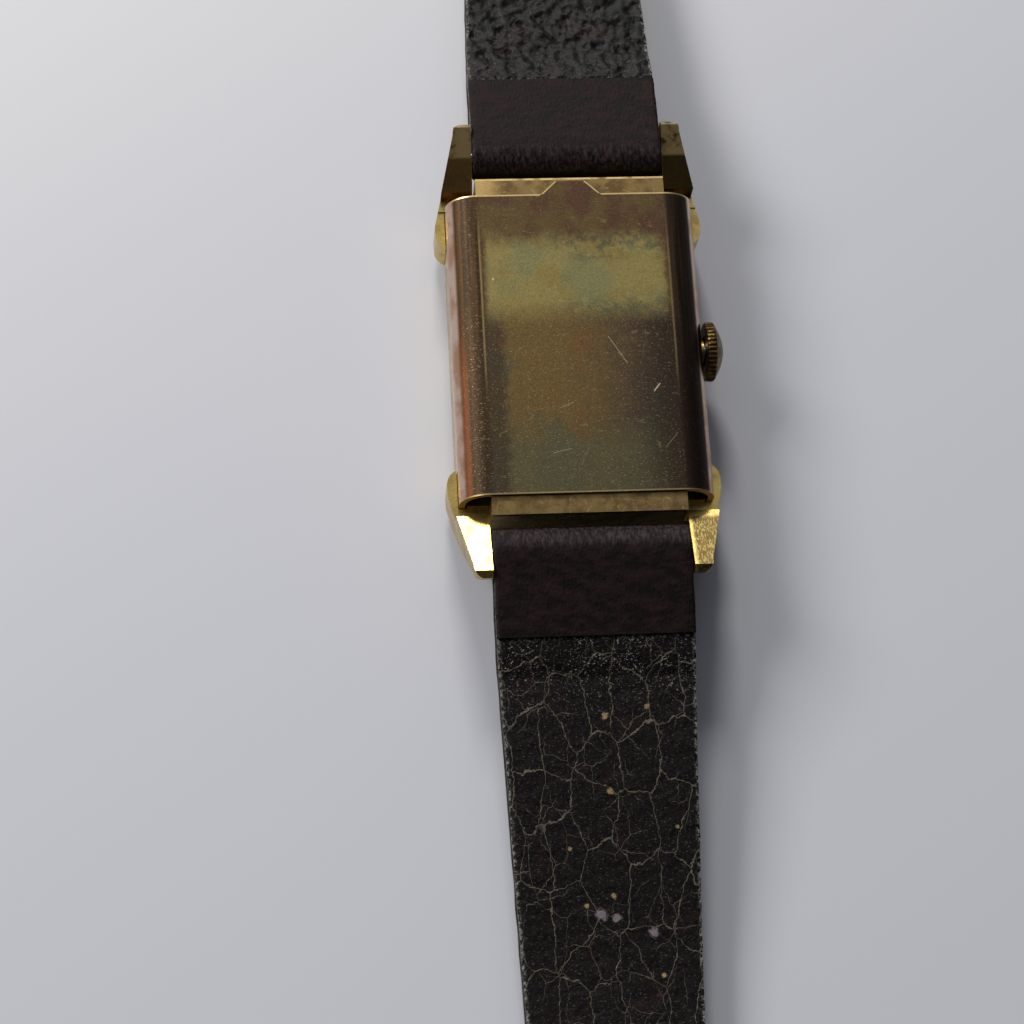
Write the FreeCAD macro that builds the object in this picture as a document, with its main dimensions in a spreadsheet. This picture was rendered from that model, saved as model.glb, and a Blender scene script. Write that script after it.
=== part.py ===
import FreeCAD, Part
import Sketcher
import math
import os

# Rectangular wristwatch lying on its crystal, case back up, with the strap laid out flat.
# X runs across the case with the crown at +X, Y runs along the strap with 12 o'clock at -Y,
# and Z points up from the plane that the crystal rests on. Millimetres.

doc = FreeCAD.newDocument("rectangular_watch")
sheet = doc.addObject("Spreadsheet::Sheet", "Sizes")
pieces = []


class Size:
    """A length or count, with the spreadsheet expression that gives it."""

    def __init__(self, value, text=None):
        self.value = float(value)
        self.text = text if text else repr(float(value))

    def __add__(self, other):
        other = as_size(other)
        return Size(self.value + other.value, f"({self.text} + {other.text})")

    def __sub__(self, other):
        other = as_size(other)
        return Size(self.value - other.value, f"({self.text} - {other.text})")

    def __mul__(self, other):
        other = as_size(other)
        return Size(self.value * other.value, f"({self.text} * {other.text})")

    def __truediv__(self, other):
        other = as_size(other)
        return Size(self.value / other.value, f"({self.text} / {other.text})")

    def __radd__(self, other):
        return as_size(other) + self

    def __rsub__(self, other):
        return as_size(other) - self

    def __rmul__(self, other):
        return as_size(other) * self

    def __neg__(self):
        return Size(-self.value, f"(-1 * {self.text})")


def as_size(number):
    return number if isinstance(number, Size) else Size(number)


def size(name, value, note):
    """One driving dimension: a named cell of the sheet."""
    size.row += 1
    sheet.set(f"A{size.row}", name)
    sheet.set(f"B{size.row}", str(value))
    sheet.set(f"C{size.row}", note)
    sheet.setAlias(f"B{size.row}", name)
    return Size(value, f"Sizes.{name}")


size.row = 0


def sine(angle):
    return Size(math.sin(math.radians(angle.value)), f"sin({angle.text})")


def cosine(angle):
    return Size(math.cos(math.radians(angle.value)), f"cos({angle.text})")


def tangent(angle):
    return Size(math.tan(math.radians(angle.value)), f"tan({angle.text})")


# Fits
slip = size("slip", 0.02, "radial clearance of a screw or pivot in its hole")
running = size("running", 0.04, "clearance between parts that turn past each other")
seat_gap = size("seat_gap", 0.05, "clearance between case parts that slip together")
soft_gap = size("soft_gap", 0.15, "clearance between leather and metal")

# Case
case_half_width = size("case_half_width", 10.3, "case centre to the outside of the cover's side")
case_seam = size("case_seam", 3.9, "height of the seam between bezel and cover at the sides")
cover_top = size("cover_top", 8.1, "crystal plane to the outside of the case back")
cover_sheet = size("cover_sheet", 0.5, "thickness of the case back")
cover_half_length = size("cover_half_length", 13.05, "centre to the cut ends of the case back")
panel_half_width = size("panel_half_width", 7.75, "half width of the flat back panel")
shoulder_radius = size("shoulder_radius", 2.5, "radius of the back's curved shoulders")
shoulder_foot = size("shoulder_foot", 5.9, "height where the shoulder becomes upright")
tab_base = size("tab_base", 2.45, "half width of the opening lip at its root")
tab_tip = size("tab_tip", 1.25, "half width of the opening lip at its tip")
tab_reach = size("tab_reach", 1.15, "how far the opening lip reaches over the rim")
tab_sheet = size("tab_sheet", 0.3, "thickness of the opening lip")
rim_half_width = size("rim_half_width", 7.85, "half width of the end rims")
rim_half_length = size("rim_half_length", 14.65, "centre to the outside of the end rims")
rim_top = size("rim_top", 7.8, "height of the end rims")
bezel_front = size("bezel_front", 0.9, "height of the bezel's front face above the crystal plane")
bezel_edge = size("bezel_edge", 0.55, "bevel round the bezel's front face")
frame_wall = size("frame_wall", 0.75, "wall of the bezel's frame inside the cover")
frame_top = size("frame_top", 5.5, "height of the frame inside the cover")
window_half_width = size("window_half_width", 7.3, "half width of the dial opening")
window_half_length = size("window_half_length", 10.8, "half length of the dial opening")
lip_depth = size("lip_depth", 0.4, "thickness of the bezel's lip in front of the crystal flange")
flange_width = size("flange_width", 0.7, "width of the crystal's flange")
flange_depth = size("flange_depth", 0.6, "thickness of the crystal's flange")
crystal_wall = size("crystal_wall", 0.9, "thickness of the crystal over the hands")
crystal_bevel = size("crystal_bevel", 0.5, "bevel round the crystal's face")
dial_seat = size("dial_seat", 3.3, "height of the ledge that carries the dial")

# Lugs
lug_gap = size("lug_gap", 16.0, "distance between the lugs")
lug_outer = size("lug_outer", 11.15, "case centre to the outside of a lug at the case corner")
lug_shoulder = size("lug_shoulder", 18.8, "centre to the outer corner of a lug's tip")
lug_shoulder_width = size("lug_shoulder_width", 9.5, "centre line to that corner")
lug_tip = size("lug_tip", 19.8, "centre to the end of a lug")
lug_tip_width = size("lug_tip_width", 8.75, "centre line to the outer side of the lug's end")
lug_root_top = size("lug_root_top", 4.9, "height of the corner that a lug grows from")
lug_face_start = size("lug_face_start", 14.2, "centre to the place where a lug's back face starts")
lug_face_root = size("lug_face_root", 6.3, "height of a lug's back face where it starts")
lug_tip_top = size("lug_tip_top", 8.1, "height of a lug's back face at its tip")
lug_tip_under = size("lug_tip_under", 6.3, "height of a lug's underside where its rounded end starts")
lug_tip_face = size("lug_tip_face", 7.3, "height where a lug's rounded end becomes upright")
lug_end_round = size("lug_end_round", 1.1, "radius of a lug's rounded end")
lug_corner_round = size("lug_corner_round", 0.9, "radius of the outer corner of a lug's tip")
lug_round = size("lug_round", 14.0, "radius of a lug's underside")
ear_end = size("ear_end", 9.8, "centre to the end of the ear along the case side")
ear_run = size("ear_run", 1.2, "length of the ear's rounded end")
ear_round = size("ear_round", 1.3, "radius of the ear's rounded end")
ear_flare = size("ear_flare", 11.9, "centre to the place where the lug's taper starts")
bar_reach = size("bar_reach", 17.4, "centre to the spring bar")
bar_height = size("bar_height", 6.3, "height of the spring bar")
bar_radius = size("bar_radius", 0.75, "radius of the spring bar's tube")
bar_pin_radius = size("bar_pin_radius", 0.4, "radius of the spring bar's end pins")
bar_pin_reach = size("bar_pin_reach", 0.75, "how far an end pin stands in its lug")

# Movement, in plan and in height
plate_half_width = size("plate_half_width", 8.6, "half width of the main plate")
plate_half_length = size("plate_half_length", 12.4, "half length of the main plate")
plate_corner = size("plate_corner", 1.5, "cut corners of the main plate")
plate_low = size("plate_low", 3.6, "dial side of the main plate")
plate_high = size("plate_high", 5.2, "bridge side of the main plate")
bridge_low = size("bridge_low", 6.3, "underside of the bridges")
bridge_high = size("bridge_high", 7.1, "top of the bridges")
stem_height = size("stem_height", 4.8, "height of the winding stem")
stem_radius = size("stem_radius", 0.5, "radius of the winding stem")
stem_square = size("stem_square", 0.66, "width across the square of the stem")
arbor_square = size("arbor_square", 0.7, "width across the square of the barrel arbor")
tube_radius = size("tube_radius", 0.95, "outside radius of the case tube")
crown_radius = size("crown_radius", 2.45, "radius of the crown")
crown_start = size("crown_start", 10.6, "case centre to the inner face of the crown")
crown_band = size("crown_band", 0.85, "width of the crown's knurled band")
crown_dome = size("crown_dome", 0.75, "height of the crown's domed end")
crown_flutes = size("crown_flutes", 40, "flutes round the crown")
wheel_sheet = size("wheel_sheet", 0.15, "thickness of the train wheels")
arbor_radius = size("arbor_radius", 0.22, "radius of the wheel arbors")
third_x = size("third_x", 2.2, "third wheel, across")
third_y = size("third_y", 3.98, "third wheel, along")
fourth_y = size("fourth_y", 7.96, "fourth wheel and small seconds, along")
escape_x = size("escape_x", -2.75, "escape wheel, across")
escape_y = size("escape_y", 9.16, "escape wheel, along")
balance_x = size("balance_x", -4.8, "balance, across")
balance_y = size("balance_y", 4.2, "balance, along")
barrel_x = size("barrel_x", -2.1, "barrel, across")
barrel_y = size("barrel_y", -4.43, "barrel, along")
pallet_x = size("pallet_x", -4.22, "pallet fork pivot, across")
pallet_y = size("pallet_y", 7.29, "pallet fork pivot, along")
barrel_radius = size("barrel_radius", 4.3, "radius over the barrel's teeth")
centre_radius = size("centre_radius", 4.2, "radius of the centre wheel")
third_radius = size("third_radius", 4.15, "radius of the third wheel")
fourth_radius = size("fourth_radius", 2.65, "radius of the fourth wheel")
escape_radius = size("escape_radius", 1.45, "radius of the escape wheel")
balance_radius = size("balance_radius", 3.3, "radius of the balance rim")
hour_radius = size("hour_radius", 1.95, "radius of the hour wheel")
minute_x = size("minute_x", 1.3, "minute wheel, across")
minute_y = size("minute_y", -2.26, "minute wheel, along")
setting_x = size("setting_x", 3.35, "setting wheel, across")
setting_y = size("setting_y", -0.21, "setting wheel, along")
setting_radius = size("setting_radius", 0.9, "radius of the setting wheel")
crown_wheel_x = size("crown_wheel_x", 4.9, "crown wheel, across")
crown_wheel_y = size("crown_wheel_y", -3.2, "crown wheel, along")
crown_wheel_radius = size("crown_wheel_radius", 3.1, "radius of the crown wheel")
ratchet_radius = size("ratchet_radius", 3.95, "radius of the ratchet wheel")

# Strap
strap_thickness = size("strap_thickness", 2.1, "strap away from the case")
leather_thickness = size("leather_thickness", 1.15, "outer leather of the strap")
flap_thickness = size("flap_thickness", 0.8, "folded end of the outer leather")
flap_length = size("flap_length", 7.0, "spring bar to the end of the folded flap")
loop_radius = size("loop_radius", 1.7, "outside radius of the loop round the spring bar")
strap_fall = size("strap_fall", 6.5, "slope of the strap down from the case, degrees")
flap_fall = size("flap_fall", 10.5, "slope of the flap's top, degrees")
landing_radius = size("landing_radius", 70.0, "bend where the strap reaches the table")
taper_start = size("taper_start", 8.0, "spring bar to the start of the strap's taper")
taper_end = size("taper_end", 62.0, "spring bar to the end of the strap's taper")
strap_tail_half = size("strap_tail_half", 6.0, "half width of the strap's narrow part")
short_length = size("short_length", 75.0, "spring bar to the buckle bar")
long_length = size("long_length", 115.0, "spring bar to the tip of the long half")
tip_length = size("tip_length", 7.0, "length of the long half's pointed end")
hole_first = size("hole_first", 62.0, "spring bar to the first buckle hole")
hole_pitch = size("hole_pitch", 6.5, "distance between buckle holes")
hole_count = size("hole_count", 7, "buckle holes")
hole_radius = size("hole_radius", 0.9, "radius of a buckle hole")
keeper_wall = size("keeper_wall", 0.9, "wall of the keepers")
keeper_length = size("keeper_length", 5.0, "length of a keeper along the strap")
fixed_keeper_back = size("fixed_keeper_back", 6.0, "buckle bar to the fixed keeper")
free_keeper_back = size("free_keeper_back", 14.0, "buckle bar to the free keeper")
buckle_loop = size("buckle_loop", 1.65, "outside radius of the loop round the buckle bar")
buckle_wire = size("buckle_wire", 1.5, "thickness of the buckle frame")
buckle_reach = size("buckle_reach", 9.6, "buckle bar to the outside of the buckle frame")
tongue_half_width = size("tongue_half_width", 0.9, "half width of the tongue")

origin = Size(0)
lug_inner = lug_gap / 2
strap_half = lug_inner - soft_gap / 3


def new_body(label, x=origin, y=origin, z=origin):
    body = doc.addObject("PartDesign::Body", label)
    body.Label = label
    place(body, x, y, z)
    pieces.append(body)
    return body


def keep(piece, label):
    """Name a Part object as a finished piece."""
    piece.Label = label
    pieces.append(piece)
    return piece


def origin_feature(body, role):
    return next(f for f in body.Origin.OriginFeatures if f.Role == role)


def sketch_at(body, role, offset):
    sketch = body.newObject("Sketcher::SketchObject", f"{body.Label}_sketch")
    sketch.AttachmentSupport = [(origin_feature(body, role), "")]
    sketch.MapMode = "FlatFace"
    sketch.AttachmentOffset = FreeCAD.Placement(FreeCAD.Vector(0, 0, offset.value), FreeCAD.Rotation())
    sketch.setExpression("AttachmentOffset.Base.z", offset.text)
    return sketch


def bind(sketch, kind, places, value):
    """One dimension of a sketch, tied to the sheet."""
    index = sketch.addConstraint(Sketcher.Constraint(kind, *places, value.value))
    sketch.setExpression(f"Constraints[{index}]", value.text)


def draw_outline(sketch, corners):
    """Closed outline through corners (u, v) or (u, v, radius). With a radius, the side that
    leaves the corner is an arc under half a turn, which turns left for a positive radius."""
    first = sketch.GeometryCount
    ends = []
    count = len(corners)
    for i, corner in enumerate(corners):
        start = FreeCAD.Vector(as_size(corner[0]).value, as_size(corner[1]).value, 0)
        after = corners[(i + 1) % count]
        end = FreeCAD.Vector(as_size(after[0]).value, as_size(after[1]).value, 0)
        if len(corner) == 2:
            sketch.addGeometry(Part.LineSegment(start, end))
            ends.append((1, 2))
            continue
        radius = corner[2].value
        chord = end - start
        across = FreeCAD.Vector(-chord.y, chord.x, 0).normalize()
        rise = math.sqrt(max(radius ** 2 - chord.Length ** 2 / 4, 0))
        left = radius > 0
        centre = (start + end) * 0.5 + across * (rise if left else -rise)
        from_point, to_point = (start, end) if left else (end, start)
        angles = [math.atan2(p.y - centre.y, p.x - centre.x) for p in (from_point, to_point)]
        circle = Part.Circle(centre, FreeCAD.Vector(0, 0, 1), abs(radius))
        sketch.addGeometry(Part.ArcOfCircle(circle, *angles))
        ends.append((1, 2) if left else (2, 1))
    for i in range(count):
        follower = (i + 1) % count
        places = (first + i, ends[i][1], first + follower, ends[follower][0])
        sketch.addConstraint(Sketcher.Constraint("Coincident", *places))
    for i, corner in enumerate(corners):
        bind(sketch, "DistanceX", (-1, 1, first + i, ends[i][0]), as_size(corner[0]))
        bind(sketch, "DistanceY", (-1, 1, first + i, ends[i][0]), as_size(corner[1]))
        if len(corner) == 3:
            length = corner[2] if corner[2].value > 0 else -corner[2]
            bind(sketch, "Radius", (first + i,), length)


def draw_circle(sketch, u, v, radius):
    u, v, radius = as_size(u), as_size(v), as_size(radius)
    circle = Part.Circle(FreeCAD.Vector(u.value, v.value, 0), FreeCAD.Vector(0, 0, 1), radius.value)
    index = sketch.addGeometry(circle)
    bind(sketch, "DistanceX", (-1, 1, index, 3), u)
    bind(sketch, "DistanceY", (-1, 1, index, 3), v)
    bind(sketch, "Radius", (index,), radius)


def draw(sketch, shapes):
    """Each shape is a list of corners, or a circle as a tuple (u, v, radius)."""
    for shape in shapes:
        if isinstance(shape, list):
            draw_outline(sketch, shape)
        else:
            draw_circle(sketch, *shape)


def extrude(kind, body, role, shapes, low, high):
    """Pad or pocket between two levels along the normal of an origin plane."""
    low, high = as_size(low), as_size(high)
    against = role == "XZ_Plane"
    sketch = sketch_at(body, role, -high if against else low)
    draw(sketch, shapes)
    feature = body.newObject(f"PartDesign::{kind}", f"{body.Label}_{kind.lower()}")
    feature.Profile = sketch
    feature.Length = (high - low).value
    feature.setExpression("Length", (high - low).text)
    feature.Reversed = kind == "Pocket"
    return feature


def pad(body, shapes, low, high, role="XY_Plane"):
    return extrude("Pad", body, role, shapes, low, high)


def pocket(body, shapes, low, high, role="XY_Plane"):
    return extrude("Pocket", body, role, shapes, low, high)


def turn(body, corners, role="XZ_Plane", axis="V_Axis", offset=origin):
    """Solid turned about an axis of its sketch, all the way round."""
    sketch = sketch_at(body, role, offset)
    draw_outline(sketch, corners)
    feature = body.newObject("PartDesign::Revolution", f"{body.Label}_turned")
    feature.Profile = sketch
    feature.ReferenceAxis = (sketch, [axis])
    feature.Angle = 360
    return feature


def repeat_round(body, feature, count, role="Z_Axis"):
    pattern = body.newObject("PartDesign::PolarPattern", f"{body.Label}_round")
    pattern.Originals = [feature]
    pattern.Axis = (origin_feature(body, role), [""])
    pattern.Angle = 360
    pattern.Occurrences = int(count.value)
    pattern.setExpression("Occurrences", count.text)
    pattern.Refine = False
    body.Tip = pattern
    return pattern


def mirror(body, features, role):
    copy = body.newObject("PartDesign::Mirrored", f"{body.Label}_mirrored")
    copy.Originals = features
    copy.MirrorPlane = (origin_feature(body, role), [""])
    body.Tip = copy
    return copy


def box(u, v, half_u, half_v):
    """Rectangle about (u, v)."""
    return [(u - half_u, v - half_v), (u + half_u, v - half_v), (u + half_u, v + half_v),
            (u - half_u, v + half_v)]


def block(u0, v0, u1, v1):
    return [(u0, v0), (u1, v0), (u1, v1), (u0, v1)]


def bevel_face(body, height, width):
    """Chamfer all edges that lie wholly at one height."""
    doc.recompute()
    base = body.Tip
    edges = [f"Edge{i + 1}" for i, edge in enumerate(body.Shape.Edges)
             if all(abs(v.Z - height.value) < 1e-6 for v in edge.Vertexes)]
    bevel = body.newObject("PartDesign::Chamfer", f"{body.Label}_bevel")
    bevel.Base = (base, edges)
    bevel.Size = width.value
    bevel.setExpression("Size", width.text)
    return bevel


def mirror_both(body, features):
    """Copies of features on all four corners of the case."""
    copies = body.newObject("PartDesign::MultiTransform", f"{body.Label}_corners")
    flips = []
    for role in ("YZ_Plane", "XZ_Plane"):
        flip = body.newObject("PartDesign::Mirrored", f"{body.Label}_flip")
        flip.MirrorPlane = (origin_feature(body, role), [""])
        flips.append(flip)
    copies.Originals = features
    copies.Transformations = flips
    body.Tip = copies
    return copies


def place(piece, x, y, z):
    for axis, value in zip("xyz", (as_size(x), as_size(y), as_size(z))):
        setattr(piece.Placement.Base, axis, value.value)
        piece.setExpression(f"Placement.Base.{axis}", value.text)


def cylinder(x, y, low, high, radius):
    """Upright cylinder between two heights."""
    low, high, radius = as_size(low), as_size(high), as_size(radius)
    piece = doc.addObject("Part::Cylinder", "rod")
    piece.setExpression("Radius", radius.text)
    piece.setExpression("Height", (high - low).text)
    place(piece, x, y, low)
    return piece


def cuboid(x, y, z, length, width, height):
    """Block centred on (x, y), standing on height z."""
    length, width, height = as_size(length), as_size(width), as_size(height)
    piece = doc.addObject("Part::Box", "block")
    piece.setExpression("Length", length.text)
    piece.setExpression("Width", width.text)
    piece.setExpression("Height", height.text)
    place(piece, x - length / 2, y - width / 2, z)
    return piece


def fuse(*parts):
    piece = doc.addObject("Part::MultiFuse", "joined")
    piece.Shapes = list(parts)
    return piece


def cut(base, tool):
    piece = doc.addObject("Part::Cut", "trimmed")
    piece.Base = base
    piece.Tool = tool
    return piece


def group(label, parts):
    piece = doc.addObject("Part::Compound", label)
    piece.Links = parts
    return keep(piece, label)


# Where the case's parts meet
cover_inner = case_half_width - cover_sheet
frame_outer = cover_inner - seat_gap * 3
cavity_half_width = frame_outer - frame_wall
end_wall = cover_half_length + seat_gap
flange_low = bezel_front + lip_depth
flange_high = flange_low + flange_depth
recess_half_width = window_half_width + flange_width
recess_half_length = window_half_length + flange_width
tube_hole = tube_radius + slip


def lip_outline(gap):
    """Trapezium of the opening lip at the case back's 6 o'clock end."""
    root = cover_half_length
    tip = root + tab_reach + gap
    return [(-tab_base - gap, root), (-tab_tip - gap, tip), (tab_tip + gap, tip), (tab_base + gap, root)]


def make_case_back():
    body = new_body("case_back")
    foot = case_seam + seat_gap
    inset = cover_sheet
    inner_radius = shoulder_radius - inset
    side, top, panel = case_half_width, cover_top, panel_half_width
    side_in, top_in, panel_in = side - inset, top - inset, panel - inset * 0.3
    section = [(side, foot), (side, shoulder_foot, shoulder_radius), (panel, top),
               (-panel, top, shoulder_radius), (-side, shoulder_foot), (-side, foot),
               (-side_in, foot), (-side_in, shoulder_foot, -inner_radius), (-panel_in, top_in),
               (panel_in, top_in, -inner_radius), (side_in, shoulder_foot), (side_in, foot)]
    pad(body, [section], -cover_half_length, cover_half_length, "XZ_Plane")
    root = cover_half_length - cover_sheet
    lip = lip_outline(origin)
    pad(body, [lip + [(tab_base, root), (-tab_base, root)]], cover_top - tab_sheet, cover_top)
    # Slot that lets the side slip down over the case tube
    half = tube_hole + seat_gap
    for shape in (block(-half, foot - 1, half, stem_height), (0, stem_height, half)):
        pocket(body, [shape], panel_half_width, case_half_width + 1, "YZ_Plane")


def make_bezel():
    body = new_body("bezel")
    pad(body, [box(origin, origin, case_half_width, rim_half_length)], bezel_front, case_seam)
    bevel_face(body, bezel_front, bezel_edge)
    pad(body, [box(origin, origin, frame_outer, end_wall)], case_seam - bezel_edge, frame_top)
    for end in (-1, 1):
        wall = block(-rim_half_width, end_wall, rim_half_width, rim_half_length)
        pad(body, [[(u, v * end) for u, v in wall]], case_seam - bezel_edge, rim_top)
        corner = block(-case_half_width, end_wall, case_half_width, rim_half_length)
        pad(body, [[(u, v * end) for u, v in corner]], case_seam - bezel_edge, lug_root_top)
    under = bezel_front + bezel_edge
    side = [(end_wall - 1, under), (end_wall + 0.5, under, lug_round), (lug_tip - 0.9, lug_tip_under, lug_end_round),
            (lug_tip, lug_tip_face), (lug_tip, lug_tip_top - 0.5), (lug_tip - 0.5, lug_tip_top),
            (lug_face_start, lug_face_root), (lug_face_start, lug_root_top), (end_wall, lug_root_top),
            (end_wall, case_seam), (end_wall - 1, case_seam)]
    lug = pad(body, [side], lug_inner, lug_outer, "YZ_Plane")
    ear = pad(body, [block(ear_end, under, end_wall, lug_root_top - 0.15)],
              case_half_width + seat_gap, lug_outer, "YZ_Plane")
    ear_root = pad(body, [block(ear_end, under, end_wall, case_seam)],
                   case_half_width - frame_wall, lug_outer, "YZ_Plane")
    outside = lug_outer + 1
    taper = pocket(body, [[(lug_outer, ear_flare), (outside, ear_flare), (outside, lug_tip + 1),
                           (lug_tip_width, lug_tip + 1), (lug_tip_width, lug_tip, -lug_corner_round),
                           (lug_shoulder_width, lug_shoulder)]], bezel_front - 1, cover_top + 1)
    ear_side = case_half_width + seat_gap
    ear_tip = pocket(body, [[(ear_side, ear_end - 1), (outside, ear_end - 1), (outside, ear_end + ear_run),
                             (lug_outer, ear_end + ear_run, -ear_round), (ear_side, ear_end)]],
                     bezel_front - 1, cover_top + 1)
    pin_hole = (bar_reach, bar_height, bar_pin_radius + slip)
    holes = pocket(body, [pin_hole], lug_inner - soft_gap, lug_inner + bar_pin_reach + slip, "YZ_Plane")
    mirror_both(body, [lug, ear, ear_root, taper, ear_tip, holes])
    pocket(body, [box(origin, origin, cavity_half_width, cover_half_length)], dial_seat, rim_top + 1)
    pocket(body, [box(origin, origin, recess_half_width, recess_half_length)], flange_low, dial_seat)
    pocket(body, [box(origin, origin, window_half_width, window_half_length)], bezel_front - 1, flange_low)
    pocket(body, [(origin, stem_height, tube_hole)], cavity_half_width - 1, case_half_width + 1, "YZ_Plane")


def make_crystal():
    body = new_body("crystal")
    half_width = window_half_width - seat_gap
    half_length = window_half_length - seat_gap
    pad(body, [box(origin, origin, half_width, half_length)], 0, flange_high)
    bevel_face(body, origin, crystal_bevel)
    pad(body, [box(origin, origin, recess_half_width - seat_gap, recess_half_length - seat_gap)],
        flange_low, flange_high)
    pocket(body, [box(origin, origin, half_width - crystal_wall, half_length - crystal_wall)],
           crystal_wall, flange_high)


def make_case_tube():
    body = new_body("case_tube")
    ring = [(origin, stem_height, tube_radius), (origin, stem_height, stem_radius + running)]
    pad(body, [ring[0]], cavity_half_width, crown_start - running * 2, "YZ_Plane")
    pocket(body, [ring[1]], cavity_half_width - 1, crown_start, "YZ_Plane")


# Dial and hands, under the crystal
dial_half_width = (recess_half_width + cavity_half_width) / 2
dial_half_length = (recess_half_length + cover_half_length) / 2
hand_sheet = size("hand_sheet", 0.15, "thickness of the hands")
hour_hand_height = size("hour_hand_height", 2.7, "height of the hour hand")
minute_hand_height = size("minute_hand_height", 2.2, "height of the minute hand")
seconds_hand_height = size("seconds_hand_height", 3.0, "height of the small seconds hand")
hour_hand_length = size("hour_hand_length", 5.0, "centre to the tip of the hour hand")
minute_hand_length = size("minute_hand_length", 6.8, "centre to the tip of the minute hand")
seconds_hand_length = size("seconds_hand_length", 1.9, "length of the small seconds hand")
cannon_radius = size("cannon_radius", 0.42, "radius of the cannon pinion's pipe")
hour_pipe_radius = size("hour_pipe_radius", 0.75, "radius of the hour wheel's pipe")
seconds_dial_radius = size("seconds_dial_radius", 2.3, "radius of the small seconds dial")
marker_inset = size("marker_inset", 0.9, "window edge to the outer end of an hour marker")
marker_length = size("marker_length", 1.5, "length of an hour marker")
marker_height = size("marker_height", 0.15, "thickness of an hour marker")
foot_x = size("foot_x", 7.1, "centre line to a foot of the dial")
foot_y = size("foot_y", 9.4, "centre to a foot of the dial, along")
foot_radius = size("foot_radius", 0.35, "radius of a foot of the dial")


def make_dial():
    body = new_body("dial")
    pad(body, [box(origin, origin, dial_half_width, dial_half_length)], dial_seat, plate_low)
    pocket(body, [(origin, fourth_y, seconds_dial_radius)], dial_seat - 1, dial_seat + 0.08)
    pocket(body, [(origin, origin, hour_pipe_radius + running * 2),
                  (origin, fourth_y, arbor_radius + running * 2)], dial_seat - 1, plate_low + 1)
    # Two feet on the back that pass into the main plate
    pad(body, [(foot_x, -foot_y, foot_radius), (-foot_x, foot_y, foot_radius)], plate_low, plate_high - 0.3)


def make_hour_markers():
    along = window_half_length - marker_inset - marker_length / 2
    across = window_half_width - marker_inset - marker_length / 2
    low = dial_seat - marker_height
    markers = []
    for u, v in ((-1, -1), (0, -1), (1, -1), (-1, 1), (1, 1)):
        markers.append(cuboid(across * u * 0.62, along * v, low, 0.45, marker_length, marker_height))
    for u in (-1, 1):
        for v in (-1, 0, 1):
            markers.append(cuboid(across * u, along * v * 0.5, low, marker_length, 0.45, marker_height))
    group("hour_markers", markers)


def make_hand(label, x, y, length, width, height, bore, hub):
    """Leaf hand pointing to 12 o'clock."""
    body = new_body(label, x, y)
    pad(body, [(0, 0, hub)], height, height + hand_sheet)
    leaf = [(-width / 2, 0.3), (width / 2, 0.3), (width * 0.3, -length * 0.6), (0.05, -length),
            (-0.05, -length), (-width * 0.3, -length * 0.6)]
    pad(body, [leaf], height, height + hand_sheet)
    pocket(body, [(0, 0, bore)], height - 1, height + 1)


def make_hands():
    make_hand("hour_hand", origin, origin, hour_hand_length, Size(1.0), hour_hand_height,
              hour_pipe_radius, hour_pipe_radius + 0.35)
    make_hand("minute_hand", origin, origin, minute_hand_length, Size(0.8), minute_hand_height,
              cannon_radius, cannon_radius + 0.4)
    body = new_body("seconds_hand", origin, fourth_y)
    high = seconds_hand_height + hand_sheet
    pad(body, [(0, 0, arbor_radius + 0.2)], seconds_hand_height, high)
    pad(body, [block(as_size(-0.09), -seconds_hand_length, as_size(0.09), seconds_hand_length * 0.35)],
        seconds_hand_height, high)
    pocket(body, [(0, 0, arbor_radius)], seconds_hand_height - 1, high + 1)


# Movement plates and bridges
plate_pocket = size("plate_pocket", 0.9, "depth of the recess for the hour and minute wheels")
screw_radius = size("screw_radius", 0.35, "radius of a screw's thread")
screw_head = size("screw_head", 0.65, "radius of a screw's head")
screw_head_height = size("screw_head_height", 0.3, "height of a screw's head")
screw_depth = size("screw_depth", 0.9, "how deep a screw stands in the main plate")
screw_slot = size("screw_slot", 0.18, "width of a screw's slot")
jewel_radius = size("jewel_radius", 0.5, "radius of a jewel")
jewel_sheet = size("jewel_sheet", 0.3, "thickness of a jewel")
ring_wall = size("ring_wall", 0.4, "wall of the movement ring")
pinion_x = size("pinion_x", 5.9, "inner end of the winding pinion")
pinion_length = size("pinion_length", 1.1, "length of the winding pinion")
clutch_x = size("clutch_x", 4.55, "inner end of the clutch wheel")
clutch_length = size("clutch_length", 1.15, "length of the clutch wheel")
pilot_length = size("pilot_length", 0.9, "length of the stem's thin inner end")
winding_radius = size("winding_radius", 0.95, "radius of the winding pinion and the clutch wheel")
foot_width = size("foot_width", 1.6, "width of a bridge's foot at the plate's end")
core_radius = size("core_radius", 0.7, "radius of the core that the crown wheel turns on")
core_hole_depth = size("core_hole_depth", 1.2, "depth of the core screw's hole")
core_head = size("core_head", 1.0, "radius of the core screw's head")
core_head_height = size("core_head_height", 0.15, "height of the core screw's head")
head_sink = size("head_sink", 0.2, "depth of the counterbore for the cock's screw")
winding_sheet = size("winding_sheet", 0.25, "thickness of the ratchet and crown wheels")
click_x = size("click_x", -6.9, "click, across")
click_y = size("click_y", -7.6, "click, along")
click_pin = size("click_pin", 0.3, "radius of the click's pivot")
click_depth = size("click_depth", 0.5, "how deep the click's pivot stands in the bridge")

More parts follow.
